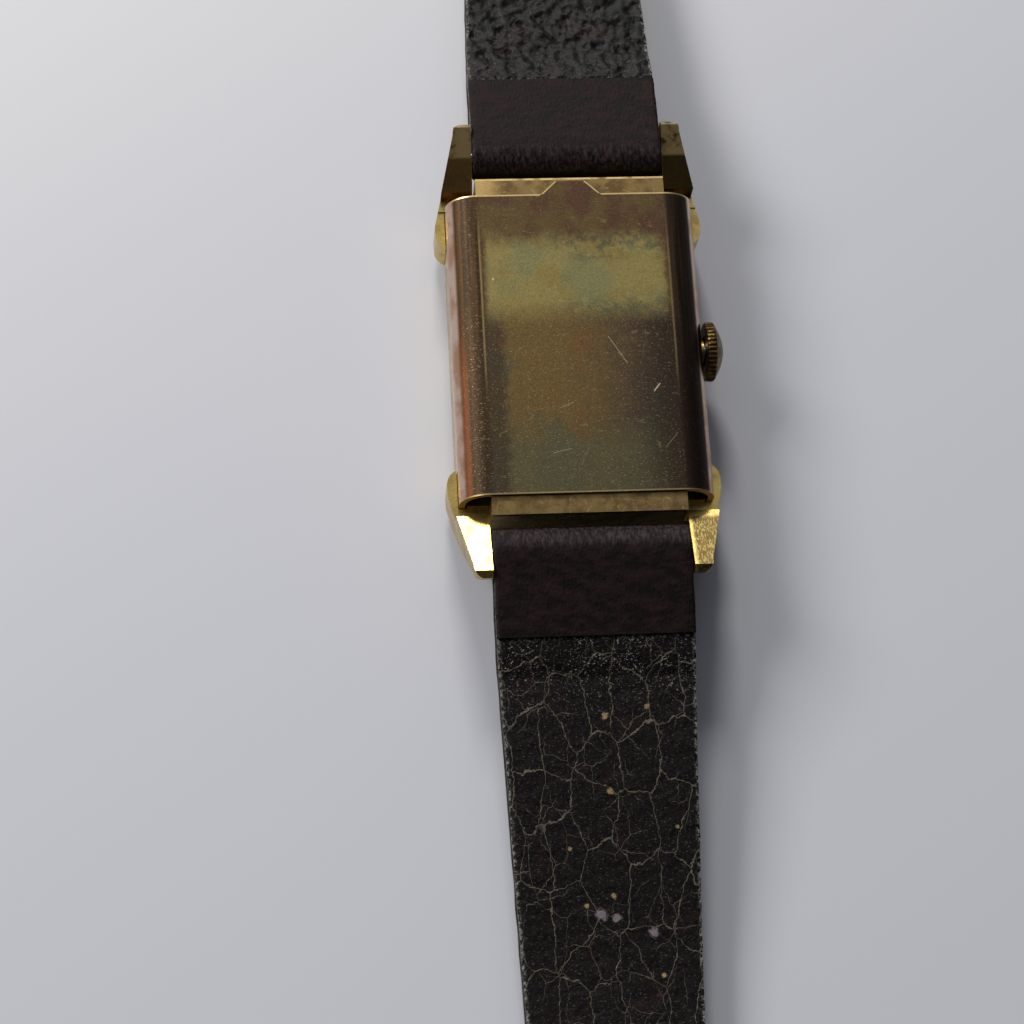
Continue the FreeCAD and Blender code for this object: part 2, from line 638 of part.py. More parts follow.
wheel_level = plate_high + 0.1
barrel_level = wheel_level + wheel_sheet + 0.1
third_level = size("third_level", 6.0, "height of the third wheel's rim")
fourth_level = size("fourth_level", 5.55, "height of the fourth wheel's rim")
balance_level = size("balance_level", 6.45, "height of the balance rim")
cock_low = size("cock_low", 7.12, "underside of the balance cock's arm")
cock_high = size("cock_high", 7.4, "top of the balance cock")
winding_level = bridge_high + running
core_high = winding_level + winding_sheet + slip
slot_half = winding_radius + running * 2
slot_end = pinion_x + pinion_length + running
pivots = [(third_x, third_y), (origin, fourth_y), (escape_x, escape_y)]
bridge_screws = [(-7.4, -11.2), (7.4, -11.2), (-7.5, -1.2)]
train_screws = [(-3.6, 11.6), (7.4, 11.4), (7.4, 2.2)]
cock_screw = (-6.6, 10.6)
pallet_screw = (-6.9, 8.1)


def screw_holes(places):
    return [(x, y, screw_radius + slip) for x, y in places]


def make_main_plate():
    body = new_body("main_plate")
    w, l, c = plate_half_width, plate_half_length, plate_corner
    outline = [(-w, -l + c), (-w + c, -l), (w - c, -l), (w, -l + c), (w, l - c), (w - c, l), (-w + c, l), (-w, l - c)]
    pad(body, [outline], plate_low, plate_high)
    # Core that the crown wheel turns on
    pad(body, [(crown_wheel_x, crown_wheel_y, core_radius)], plate_high, core_high)
    pocket(body, [(crown_wheel_x, crown_wheel_y, screw_radius + slip)], core_high - core_hole_depth, core_high + 1)
    # Recesses on the dial side for the motion work and for the setting levers
    deep = plate_low + plate_pocket
    pocket(body, [(origin, origin, hour_radius + 0.2)], plate_low - 1, deep)
    pocket(body, [(minute_x, minute_y, hour_radius + 0.2)], plate_low - 1, deep)
    pocket(body, [(setting_x, setting_y, setting_radius + 0.15)], plate_low - 1, deep)
    for side in (-1, 1):
        lever_room = block(clutch_x - 0.1, slot_half * side * 0.8, w - 0.4, Size(3.6 * side))
        pocket(body, [lever_room], plate_low - 1, deep)
    # Slot for the winding pinion and clutch, and the stem's bearings
    pocket(body, [block(clutch_x - 0.5, -slot_half, slot_end, slot_half)], plate_low - 1, plate_high + 1)
    pocket(body, [(origin, stem_height, stem_radius + running)], slot_end - 1, w + 1, "YZ_Plane")
    pocket(body, [(origin, stem_height, stem_radius * 0.6 + running)], clutch_x - pilot_length - running, clutch_x,
           "YZ_Plane")
    through = [(origin, origin, cannon_radius + running), (origin, fourth_y, arbor_radius + running)]
    pocket(body, through, plate_low - 1, plate_high + 1)
    blind = [(x, y, arbor_radius + slip) for x, y in (pivots[0], pivots[2])]
    blind += [(balance_x, balance_y, arbor_radius + slip), (pallet_x, pallet_y, arbor_radius + slip),
              (barrel_x, barrel_y, stem_radius + running)]
    pocket(body, blind, plate_high - 0.6, plate_high + 1)
    screws = screw_holes(bridge_screws + train_screws + [cock_screw, pallet_screw])
    pocket(body, screws, plate_high - screw_depth - slip, plate_high + 1)
    foot_hole = foot_radius + slip
    pocket(body, [(foot_x, -foot_y, foot_hole), (-foot_x, foot_y, foot_hole)], plate_low - 1, plate_high - 0.3)


def make_movement_ring():
    body = new_body("movement_ring")
    outer = box(origin, origin, cavity_half_width - seat_gap, cover_half_length - seat_gap)
    pad(body, [outer], plate_low + seat_gap, plate_high)
    inner = box(origin, origin, plate_half_width + seat_gap, plate_half_length + seat_gap)
    pocket(body, [inner], plate_low - 1, plate_high + 1)
    pocket(body, [(origin, stem_height, stem_radius + running)], plate_half_width - 1, cavity_half_width, "YZ_Plane")


def make_barrel_bridge():
    body = new_body("barrel_bridge")
    w, l = plate_half_width - 0.2, plate_half_length - 0.2
    upper = [(-w, -l), (w, -l), (w, 0.4), (0.9, 0.4), (0.9, 0.9), (-1.2, 0.9), (-1.2, 0.3), (-w, 0.3)]
    pad(body, [upper], bridge_low, bridge_high)
    pad(body, [block(-w, -l, w, -l + foot_width * 2)], plate_high, bridge_low)
    pad(body, [block(-w, -l, barrel_x - barrel_radius - 0.2, as_size(0.3))], plate_high, bridge_low)
    bores = [(crown_wheel_x, crown_wheel_y, crown_wheel_radius + running),
             (barrel_x, barrel_y, stem_radius + running), (origin, origin, arbor_radius + slip)]
    pocket(body, bores, plate_high, bridge_high + 1)
    pocket(body, screw_holes(bridge_screws), plate_high - 1, bridge_high + 1)
    pocket(body, [(click_x, click_y, click_pin + slip)], bridge_high - click_depth - slip, bridge_high + 1)


def make_train_bridge():
    body = new_body("train_bridge")
    w, l = plate_half_width - 0.2, plate_half_length - 0.2
    upper = [(1.2, 0.65), (w, 0.65), (w, l), (-4.5, l), (-4.5, 8.6), (-1.1, 8.6), (-1.1, 2.0), (1.2, 2.0)]
    pad(body, [upper], bridge_low, bridge_high)
    pad(body, [block(Size(-4.5), l - 1.2, w, l)], plate_high, bridge_low)
    pad(body, [block(third_x + third_radius + 0.15, slot_half + running, w, l)], plate_high, bridge_low)
    pocket(body, [(x, y, jewel_radius) for x, y in pivots], bridge_high - jewel_sheet, bridge_high + 1)
    pocket(body, [(x, y, arbor_radius + slip) for x, y in pivots], bridge_low - 1, bridge_high)
    pocket(body, screw_holes(train_screws), plate_high - 1, bridge_high + 1)


def make_balance_cock():
    body = new_body("balance_cock")
    w, l = plate_half_width - 0.5, plate_half_length - 0.2
    foot = block(-w, balance_y + balance_radius + 1.8, as_size(-4.7), l)
    pad(body, [foot], plate_high, cock_high)
    arm = [(balance_x - 0.8, l), (balance_x - 0.9, balance_y - 0.6), (balance_x + 0.9, balance_y - 0.6),
           (balance_x + 0.4, l)]
    pad(body, [arm], cock_low, cock_high)
    pocket(body, [(balance_x, balance_y, arbor_radius + slip)], cock_low - 1, cock_high - 0.1)
    pocket(body, screw_holes([cock_screw]), plate_high - 1, cock_high + 1)
    pocket(body, [cock_screw + (screw_head + slip,)], cock_high - head_sink, cock_high + 1)


def make_pallet_bridge():
    body = new_body("pallet_bridge")
    y = pallet_y
    x = pallet_screw[0]
    pad(body, [box(as_size(x), as_size(pallet_screw[1]), as_size(0.6), as_size(0.55))], plate_high, third_level + 0.2)
    top = third_level + 0.4
    arm = [(x - 0.6, y), (pallet_x + 0.45, y - 0.4), (pallet_x + 0.45, y + 0.4), (x + 0.6, pallet_screw[1] + 0.55),
           (x - 0.6, pallet_screw[1] + 0.55)]
    pad(body, [arm], third_level + 0.2, top)
    pocket(body, [(pallet_x, y, arbor_radius * 0.7)], plate_high, top + 1)
    pocket(body, screw_holes([pallet_screw]), plate_high - 1, top + 1)


def make_screw(x, y, low, top, head_radius, head_height, slot_width):
    """Slotted screw whose head sits on height top."""
    shank = cylinder(x, y, low, top, screw_radius)
    head = cylinder(x, y, top, top + head_height, head_radius)
    slot = cuboid(x, y, top + head_height / 2, head_radius * 3, slot_width, head_height)
    return cut(fuse(shank, head), slot)


def make_screws():
    tops = [(place, bridge_high) for place in bridge_screws + train_screws]
    tops += [(cock_screw, cock_high - head_sink), (pallet_screw, third_level + 0.4)]
    low = plate_high - screw_depth
    screws = [make_screw(x, y, low, top, screw_head, screw_head_height, screw_slot) for (x, y), top in tops]
    core_low = core_high - core_hole_depth + slip
    screws.append(make_screw(crown_wheel_x, crown_wheel_y, core_low, core_high, core_head, core_head_height,
                             screw_slot))
    group("movement_screws", screws)


def make_jewels():
    jewels = []
    for x, y in pivots:
        stone = cylinder(x, y, bridge_high - jewel_sheet, bridge_high, jewel_radius)
        jewels.append(cut(stone, cylinder(x, y, bridge_high - 1, bridge_high + 1, arbor_radius + slip)))
    cap = cylinder(balance_x, balance_y, cock_high, cock_high + 0.12, jewel_radius)
    jewels.append(cap)
    group("jewels", jewels)


# Wheels of the going train
def make_wheel(label, x, y, radius, teeth, rim, hub, arbor, spokes=4, sheet_height=wheel_sheet):
    """Toothed wheel with round windows, a hub between two heights and an arbor between two more."""
    body = new_body(label, x, y)
    pad(body, [(0, 0, radius)], rim, rim + sheet_height)
    root = radius - radius * 2.2 / teeth
    if spokes:
        middle = (root + hub[2]) / 2
        window = pocket(body, [(middle, 0, (root - hub[2]) * 0.36)], rim - 0.5, rim + sheet_height + 0.5)
        repeat_round(body, window, as_size(spokes))
    pad(body, [(0, 0, hub[2])], hub[0], hub[1])
    pad(body, [(0, 0, arbor[2])], arbor[0], arbor[1])
    cut_teeth(body, radius, teeth, rim, rim + sheet_height)
    return body


def cut_teeth(body, radius, teeth, low, high):
    root = radius - radius * 2.2 / teeth
    half = radius * 1.5 / teeth
    gap = [(root, -half * 0.5), (radius + 0.1, -half), (radius + 0.1, half), (root, half * 0.5)]
    tooth = pocket(body, [gap], low, high)
    repeat_round(body, tooth, teeth)


centre_teeth = size("centre_teeth", 64, "teeth of the centre wheel")
third_teeth = size("third_teeth", 60, "teeth of the third wheel")
fourth_teeth = size("fourth_teeth", 60, "teeth of the fourth wheel")
escape_teeth = size("escape_teeth", 15, "teeth of the escape wheel")
barrel_teeth = size("barrel_teeth", 64, "teeth of the barrel")
ratchet_teeth = size("ratchet_teeth", 38, "teeth of the ratchet wheel")
crown_wheel_teeth = size("crown_wheel_teeth", 30, "teeth of the crown wheel")
hour_teeth = size("hour_teeth", 32, "teeth of the hour wheel")
minute_teeth = size("minute_teeth", 30, "teeth of the minute wheel")
setting_teeth = size("setting_teeth", 14, "teeth of the setting wheel")
winding_teeth = size("winding_teeth", 14, "teeth of the winding pinion and the clutch wheel")


def make_train():
    low = plate_high - 0.5
    top = bridge_high - 0.05
    centre_hub = (wheel_level, third_level - 0.1, Size(0.55))
    make_wheel("centre_wheel", origin, origin, centre_radius, centre_teeth, wheel_level, centre_hub,
               (plate_low + plate_pocket, bridge_high - 0.1, arbor_radius))
    make_wheel("third_wheel", third_x, third_y, third_radius, third_teeth, third_level,
               (wheel_level, third_level + wheel_sheet, Size(0.3)), (low, top, arbor_radius))
    make_wheel("fourth_wheel", origin, fourth_y, fourth_radius, fourth_teeth, fourth_level,
               (fourth_level, third_level + wheel_sheet, Size(0.35)),
               (seconds_hand_height, top, arbor_radius))
    make_wheel("escape_wheel", escape_x, escape_y, escape_radius, escape_teeth, third_level,
               (fourth_level, third_level + wheel_sheet, Size(0.3)), (low, top, arbor_radius), spokes=0)


def spiral_ribbon(label, x, y, inner, outer, turns, thickness, low, high):
    """Flat spring wound as an even spiral, from its inner radius to its outer one."""
    steps = int(turns) * 16
    sides = []
    for offset in (-thickness / 2, thickness / 2):
        points = []
        for i in range(steps + 1):
            angle = 2 * math.pi * turns * i / steps
            radius = inner.value + (outer.value - inner.value) * i / steps + offset
            points.append(FreeCAD.Vector(radius * math.cos(angle), radius * math.sin(angle), 0))
        curve = Part.BSplineCurve()
        curve.interpolate(points)
        sides.append(curve.toShape())
    first, last = sides
    ends = [Part.makeLine(first.valueAt(first.FirstParameter), last.valueAt(last.FirstParameter)),
            Part.makeLine(first.valueAt(first.LastParameter), last.valueAt(last.LastParameter))]
    face = Part.Face(Part.Wire([first, ends[1], last, ends[0]]))
    face.translate(FreeCAD.Vector(0, 0, low.value))
    piece = doc.addObject("Part::Feature", label)
    piece.Shape = face.extrude(FreeCAD.Vector(0, 0, (high - low).value))
    place(piece, x, y, origin)
    return keep(piece, label)


def make_barrel():
    floor = as_size(0.2)
    teeth_high = barrel_level + floor
    lid = barrel_level + 0.55
    drum_radius = barrel_radius - 0.3
    body = new_body("barrel_drum", barrel_x, barrel_y)
    pad(body, [(0, 0, barrel_radius)], barrel_level, teeth_high)
    pad(body, [(0, 0, drum_radius)], barrel_level, lid)
    pocket(body, [(0, 0, drum_radius - 0.3)], teeth_high, lid + 1)
    pocket(body, [(0, 0, stem_radius + running)], barrel_level - 1, lid)
    cut_teeth(body, barrel_radius, barrel_teeth, barrel_level, teeth_high)
    cover = new_body("barrel_cover", barrel_x, barrel_y)
    pad(cover, [(0, 0, drum_radius)], lid, lid + 0.12)
    pocket(cover, [(0, 0, stem_radius + running)], lid - 1, lid + 1)
    spiral_ribbon("mainspring", barrel_x, barrel_y, Size(0.9), drum_radius - 0.42, 9, 0.12,
                  teeth_high + 0.05, lid - 0.05)
    arbor = new_body("barrel_arbor", barrel_x, barrel_y)
    pad(arbor, [(0, 0, stem_radius)], plate_high - 0.5, bridge_high)
    pad(arbor, [(0, 0, stem_radius + 0.3)], teeth_high + running, lid - running)
    half = arbor_square / 2
    pad(arbor, [box(origin, origin, half, half)], bridge_high, winding_level + winding_sheet + slip)


def make_winding_wheels():
    low, high = winding_level, winding_level + winding_sheet
    ratchet_hub = (low, high, Size(0.9))
    ratchet = make_wheel("ratchet_wheel", barrel_x, barrel_y, ratchet_radius, ratchet_teeth, low, ratchet_hub,
                         ratchet_hub, 0, winding_sheet)
    half = arbor_square / 2 + slip
    pocket(ratchet, [box(origin, origin, half, half)], low - 1, low + 1)
    crown_hub = (low, high, Size(1.4))
    crown_wheel = make_wheel("crown_wheel", crown_wheel_x, crown_wheel_y, crown_wheel_radius,
                             crown_wheel_teeth, low, crown_hub, crown_hub, 0, winding_sheet)
    skirt_low = stem_height + winding_radius + running
    pad(crown_wheel, [(0, 0, crown_wheel_radius - 0.12)], skirt_low, low)
    pocket(crown_wheel, [(0, 0, crown_wheel_radius - 0.9)], skirt_low - 1, low - 0.3)
    pocket(crown_wheel, [(0, 0, core_radius + running)], skirt_low - 1, low + 1)
    click = new_body("click", click_x, click_y)
    pad(click, [(0, 0, Size(0.65))], low, high)
    pad(click, [[(-0.3, 0.3), (0.45, -0.35), (1.15, 0.55), (0.95, 0.75)]], low, high)
    pad(click, [(0, 0, click_pin)], bridge_high - click_depth, low)
    spring = new_body("click_spring", click_x, click_y)
    blade = [(-1.2, -0.9), (-1.0, -0.9), (-0.85, 2.4), (-0.35, 2.6), (-0.35, 2.75), (-1.0, 2.75)]
    pad(spring, [blade], bridge_high, bridge_high + winding_sheet)


# Motion work under the dial
leaf_radius = size("leaf_radius", 0.62, "radius of the cannon pinion's and minute pinion's leaves")


def make_motion_work():
    floor = plate_low + 0.1
    step = wheel_sheet + 0.1
    deep = plate_low + plate_pocket - 0.1
    cannon = new_body("cannon_pinion")
    pad(cannon, [(0, 0, cannon_radius)], minute_hand_height - 0.1, deep)
    pad(cannon, [(0, 0, leaf_radius)], deep - 0.35, deep)
    pocket(cannon, [(0, 0, arbor_radius)], minute_hand_height, plate_high)
    hour = make_wheel("hour_wheel", origin, origin, hour_radius, hour_teeth, floor,
                      (floor, floor + wheel_sheet, Size(1.0)),
                      (hour_hand_height - 0.05, floor + wheel_sheet, hour_pipe_radius))
    pocket(hour, [(0, 0, cannon_radius + running)], hour_hand_height - 1, plate_high)
    make_wheel("minute_wheel", minute_x, minute_y, hour_radius, minute_teeth, deep - 0.3,
               (floor, deep - 0.15, leaf_radius), (floor, deep + 0.1, arbor_radius), 0)
    make_wheel("setting_wheel", setting_x, setting_y, setting_radius, setting_teeth, deep - 0.3,
               (deep - 0.45, deep - 0.15, Size(0.45)), (deep - 0.3, deep + 0.1, arbor_radius), 0)


# Escapement
fork_sheet = size("fork_sheet", 0.15, "thickness of the pallet fork")
arm_spread = size("arm_spread", 52.0, "angle of each pallet from the line to the escape wheel, degrees")
arm_length = size("arm_length", 1.7, "pallet pivot to the end of a pallet")
roller_radius = size("roller_radius", 0.8, "radius of the impulse roller")


def distance(dx, dy):
    return Size(math.hypot(dx.value, dy.value), f"sqrt({dx.text} * {dx.text} + {dy.text} * {dy.text})")


def bar_along(ux, uy, start, end, half):
    """Four corners of a bar along the direction (ux, uy)."""
    return [(ux * start + uy * half, uy * start - ux * half), (ux * end + uy * half, uy * end - ux * half),
            (ux * end - uy * half, uy * end + ux * half), (ux * start - uy * half, uy * start + ux * half)]


def make_pallet_fork():
    body = new_body("pallet_fork", pallet_x, pallet_y)
    low, high = third_level, third_level + fork_sheet
    pad(body, [(0, 0, Size(0.4))], low, high)
    pad(body, [(0, 0, arbor_radius * 0.7 - slip)], plate_high - 0.5, third_level + 0.35)
    dx, dy = escape_x - pallet_x, escape_y - pallet_y
    reach = distance(dx, dy)
    ux, uy = dx / reach, dy / reach
    for turn_way in (-1, 1):
        c, s = cosine(arm_spread), sine(arm_spread) * turn_way
        ax, ay = ux * c - uy * s, uy * c + ux * s
        pad(body, [bar_along(ax, ay, as_size(0.1), arm_length, as_size(0.14))], low, high)
    dx, dy = balance_x - pallet_x, balance_y - pallet_y
    reach = distance(dx, dy)
    ux, uy = dx / reach, dy / reach
    fork_end = reach - roller_radius + 0.35
    pad(body, [bar_along(ux, uy, as_size(0.1), fork_end, as_size(0.17))], low, high)
    pad(body, [bar_along(ux, uy, fork_end - 0.35, fork_end, as_size(0.38))], low, high)
    pocket(body, [bar_along(ux, uy, fork_end - 0.25, fork_end + 0.2, as_size(0.14))], low - 0.5, high + 0.5)


def make_balance():
    body = new_body("balance_wheel", balance_x, balance_y)
    rim_high = balance_level + 0.3
    pad(body, [(0, 0, balance_radius - 0.15)], balance_level, rim_high)
    for end in (-1, 1):
        gap = [(-(balance_radius - 0.6), 0.35 * end), (balance_radius - 0.6, 0.35 * end, (balance_radius - 0.45) * end)]
        pocket(body, [gap], balance_level - 0.1, rim_high + 0.5)
    weight = pad(body, [(origin, balance_level + 0.15, Size(0.13))], balance_radius - 0.4, balance_radius,
                 "YZ_Plane")
    repeat_round(body, weight, Size(14))
    roller_low = third_level + fork_sheet + running
    pad(body, [(0, 0, roller_radius)], roller_low, roller_low + 0.12)
    pad(body, [(0, 0, arbor_radius)], plate_high - 0.5, cock_high - 0.15)
    pad(body, [(0, 0, arbor_radius + 0.15)], roller_low, rim_high + 0.05)
    spring_low = rim_high + 0.07
    spiral_ribbon("hairspring", balance_x, balance_y, Size(0.5), balance_radius - 1.1, 9, 0.05,
                  spring_low, spring_low + 0.12)
    regulator = new_body("regulator", balance_x, balance_y)
    pad(regulator, [(0, 0, jewel_radius + 0.35), (0, 0, jewel_radius + slip)], cock_high, cock_high + 0.1)
    pad(regulator, [[(-0.15, jewel_radius + 0.2), (0.15, jewel_radius + 0.2), (0.1, 2.4), (-0.1, 2.4)]],
        cock_high, cock_high + 0.1)


# Winding and setting work
crown_travel = size("crown_travel", 0.8, "how far the crown pulls out to set the hands")
seal_radius = size("seal_radius", 1.3, "outside radius of the crown's gasket")
crown_edge = size("crown_edge", 0.25, "rounding of the crown's edges")


def make_winding_work():
    """Pieces on the stem's axis, each turned or padded along X."""
    stem = new_body("winding_stem", z=stem_height)
    pad(stem, [(0, 0, stem_radius * 0.6)], clutch_x - pilot_length, clutch_x, "YZ_Plane")
    pad(stem, [box(origin, origin, stem_square / 2, stem_square / 2)], clutch_x - 0.4, pinion_x, "YZ_Plane")
    pad(stem, [(0, 0, stem_radius)], pinion_x - 0.05, crown_start + crown_band, "YZ_Plane")
    pinion = new_body("winding_pinion", z=stem_height)
    pad(pinion, [(0, 0, winding_radius)], pinion_x, pinion_x + pinion_length, "YZ_Plane")
    pocket(pinion, [(0, 0, stem_radius + slip)], pinion_x - 1, slot_end + 1, "YZ_Plane")
    leaf = pocket(pinion, [(0, winding_radius, Size(0.14))], pinion_x - 1, slot_end, "YZ_Plane")
    repeat_round(pinion, leaf, winding_teeth, "X_Axis")
    clutch = new_body("clutch_wheel", z=stem_height)
    end = clutch_x + clutch_length
    pad(clutch, [(0, 0, winding_radius)], clutch_x, end, "YZ_Plane")
    half = stem_square / 2 + slip
    pocket(clutch, [box(origin, origin, half, half)], clutch_x - 1, end + 1, "YZ_Plane")
    pocket(clutch, [(0, 0, winding_radius + 0.2), (0, 0, winding_radius - 0.25)], clutch_x + 0.4, end - 0.4,
           "YZ_Plane")
    notch = pocket(clutch, [(0, winding_radius, Size(0.14))], end - 0.25, end + 1, "YZ_Plane")
    repeat_round(clutch, notch, winding_teeth, "X_Axis")


def make_setting_levers():
    low = plate_low + 0.15
    high = low + 0.4
    lever = new_body("setting_lever", Size(7.6), Size(2.6))
    pad(lever, [(0, 0, Size(0.55))], low, high)
    pad(lever, [[(-0.45, 0.2), (-0.75, -1.5), (-0.25, -1.5), (0.45, 0.0)]], low, high)
    yoke = new_body("clutch_lever", Size(7.6), Size(-2.6))
    pad(yoke, [(0, 0, Size(0.5))], low, high)
    pad(yoke, [[(-0.2, -0.45), (0.1, 0.4), (-2.2, 1.5), (-2.6, 1.45), (-2.5, 0.95)]], low, high)


def make_crown():
    body = new_body("crown", z=stem_height)
    inner = crown_start
    outer = crown_start + crown_band
    rim = crown_radius - crown_edge
    dome = crown_radius * crown_radius / crown_dome / 2 + crown_dome / 2
    profile = [(inner, 0), (inner, rim, -crown_edge), (inner + crown_edge, crown_radius),
               (outer - crown_edge, crown_radius, -crown_edge), (outer, rim, -dome), (outer + crown_dome, 0)]
    turn(body, profile, "XY_Plane", "H_Axis")
    flute = pocket(body, [(0, crown_radius + 0.05, Size(0.16))], inner - 0.5, outer - crown_edge * 0.5, "YZ_Plane")
    repeat_round(body, flute, crown_flutes, "X_Axis")
    pocket(body, [(0, 0, stem_radius)], inner - 1, outer, "YZ_Plane")
    pocket(body, [(0, 0, seal_radius)], inner - 1, inner + crown_travel, "YZ_Plane")
    seal = new_body("crown_gasket", z=stem_height)
    pad(seal, [(0, 0, seal_radius - slip)], inner + 0.1, inner + crown_travel, "YZ_Plane")
    pocket(seal, [(0, 0, stem_radius + running)], inner - 1, inner + crown_travel + 1, "YZ_Plane")


# Spring bars
bar_tube_half = size("bar_tube_half", 7.6, "half length of a spring bar's tube")
pin_travel = size("pin_travel", 0.9, "how far an end pin pushes in")
pin_length = size("pin_length", 3.2, "length of an end pin")
coil_wall = size("coil_wall", 0.12, "wall of the coil spring inside a spring bar")


def make_spring_bars():
    """A tube with a sprung pin at each end, for each half of the strap."""
    coils = []
    for name, end in (("short", -1), ("long", 1)):
        tube = new_body(f"{name}_spring_bar", y=bar_reach * end, z=bar_height)
        pad(tube, [(0, 0, bar_radius)], -bar_tube_half, bar_tube_half, "YZ_Plane")
        pocket(tube, [(0, 0, bar_pin_radius + slip)], -bar_tube_half - 1, bar_tube_half + 1, "YZ_Plane")
        for hand, side in (("left", -1), ("right", 1)):
            pin = new_body(f"{name}_bar_pin_{hand}", y=bar_reach * end, z=bar_height)
            outer = lug_inner + bar_pin_reach
            low, high = (outer - pin_length, outer) if side > 0 else (-outer, pin_length - outer)
            pad(pin, [(0, 0, bar_pin_radius)], low, high, "YZ_Plane")
        half = lug_inner + bar_pin_reach - pin_length - pin_travel - running
        outer = lying_rod(-half, bar_reach * end, bar_height, half * 2, bar_pin_radius)
        inner = lying_rod(-half - 1, bar_reach * end, bar_height, half * 2 + 2, bar_pin_radius - coil_wall)
        coils.append(cut(outer, inner))
    group("spring_bar_coils", coils)


# Strap
def strap_levels(rest):
    """Corners of the strap's underside, measured out from the spring bar, for a tail whose
    underside lies at height rest."""
    start = (-loop_radius * sine(strap_fall), bar_height - loop_radius * cosine(strap_fall))
    corner = start[0] + (start[1] - rest) / tangent(strap_fall)
    reach = landing_radius * tangent(strap_fall / 2)
    leave = (corner - reach * cosine(strap_fall), rest + reach * sine(strap_fall))
    land = (corner + reach, rest)
    return start, leave, land


def taper_outline(end, length, tip):
    """What is cut away beside one edge of the strap, along direction end."""
    far = length + buckle_loop + 1
    wide = strap_half + 1
    corners = [(strap_half, taper_start), (wide, taper_start), (wide, far)]
    if tip:
        corners += [(origin, far), (origin, length)]
        radius = (strap_tail_half * strap_tail_half + tip_length * tip_length) / strap_tail_half / 2 * 1.4
        corners[-1] = (origin, length, radius * -end)
        corners += [(strap_tail_half, length - tip_length), (strap_tail_half, taper_end)]
    else:
        corners += [(strap_tail_half, far), (strap_tail_half, taper_end)]
    return [(c[0], (bar_reach + c[1]) * end) + c[2:] for c in corners]


def along_strap(corners, end):
    """Section corners measured from the spring bar, turned to face one end of the case."""
    placed = []
    for u, v, *arc in corners:
        placed.append(((bar_reach + u) * end, v) + tuple(radius * end for radius in arc))
    return placed


def make_strap_half(name, end, length, rest, tip):
    start, leave, land = strap_levels(rest)
    flap_start = (loop_radius * sine(flap_fall), bar_height + loop_radius * cosine(flap_fall))
    flap_end = flap_start[1] - (flap_length - flap_start[0]) * tangent(flap_fall)
    inner = loop_radius + 0.5
    inner_top = flap_start[1] - (inner - flap_start[0]) * tangent(flap_fall) - flap_thickness
    fold = leather_thickness
    inner_low = start[1] + fold - (inner - start[0]) * tangent(strap_fall)
    radius = landing_radius
    tail = length if tip else length - buckle_loop - 0.5
    leather = new_body(f"{name}_strap_leather")
    section = [(-loop_radius, bar_height, -loop_radius), flap_start, (flap_length, flap_end),
               (flap_length, flap_end - flap_thickness), (inner, inner_top), (inner, inner_low),
               (leave[0], leave[1] + fold, radius), (land[0], rest + fold), (tail, rest + fold), (tail, rest),
               land + (-radius,), leave, start + (-loop_radius,)]
    pad(leather, [along_strap(section, end)], -strap_half, strap_half, "YZ_Plane")
    middle = rest + strap_thickness / 2
    if not tip:
        ring = (bar_reach + length) * end
        neck = [(tail - 0.5, rest), (length, rest), (length, rest + strap_thickness), (tail, rest + strap_thickness),
                (tail, rest + fold), (tail - 0.5, rest + fold)]
        pad(leather, [along_strap(neck, end)], -strap_tail_half, strap_tail_half, "YZ_Plane")
        pad(leather, [(ring, middle, buckle_loop)], -strap_tail_half, strap_tail_half, "YZ_Plane")
        pocket(leather, [(ring, middle, bar_radius + running)], -strap_half, strap_half, "YZ_Plane")
        slot = [(u, (bar_reach + v) * end) for u, v in
                box(origin, length + 0.5, tongue_half_width + soft_gap * 2, buckle_loop + 1.4)]
        pocket(leather, [slot], rest - 2, middle + buckle_loop + 2)
    pocket(leather, [(bar_reach * end, bar_height, bar_radius + running)], -strap_half - 1, strap_half + 1, "YZ_Plane")
    finish_strap_edges(leather, end, length, tip)
    lining = new_body(f"{name}_strap_lining")
    top = rest + strap_thickness
    drop = strap_thickness - fold
    merge = flap_length + 3
    section = [(inner, inner_low), (inner, inner_top), (flap_length, flap_end - flap_thickness),
               (flap_length, flap_end - 0.25), (merge, lining_top(start, merge)), (leave[0], leave[1] + fold + drop, radius),
               (land[0], top), (tail, top), (tail, rest + fold), (land[0], rest + fold, -radius),
               (leave[0], leave[1] + fold)]
    pad(lining, [along_strap(section, end)], -strap_half, strap_half, "YZ_Plane")
    finish_strap_edges(lining, end, length, tip)


def lining_top(start, u):
    """Height of the lining's top on the sloping stretch."""
    return start[1] + strap_thickness - (u - start[0]) * tangent(strap_fall)


def finish_strap_edges(body, end, length, tip):
    edge = pocket(body, [taper_outline(end, length, tip)], Size(-1), cover_top + 1)
    mirror(body, [edge], "YZ_Plane")
    if tip:
        hole = pocket(body, [(origin, (bar_reach + hole_first) * end, hole_radius)], Size(-1), strap_thickness + 1)
        row = body.newObject("PartDesign::LinearPattern", f"{body.Label}_holes")
        row.Originals = [hole]
        row.Direction = (origin_feature(body, "Y_Axis"), [""])
        row.Reversed = end < 0
        row.Length = (hole_pitch * (hole_count - 1)).value
        row.setExpression("Length", (hole_pitch * (hole_count - 1)).text)
        row.Occurrences = int(hole_count.value)
        row.setExpression("Occurrences", hole_count.text)
        body.Tip = row


def make_keeper(name, place_out):
    """Flat leather loop that the long half's tip passes through."""
    body = new_body(name)
    centre = -(bar_reach + place_out)
    inner_half = strap_tail_half + soft_gap * 4
    outer_half = inner_half + keeper_wall
    room = strap_thickness * 2 + soft_gap * 2
    high = keeper_wall + room + keeper_wall
    low_edge, high_edge = centre - keeper_length / 2, centre + keeper_length / 2
    pad(body, [block(-outer_half, origin, outer_half, high)], low_edge, high_edge, "XZ_Plane")
    pocket_through(body, block(-inner_half, keeper_wall - soft_gap / 2, inner_half, high - keeper_wall),
                   low_edge - 1, high_edge + 1)


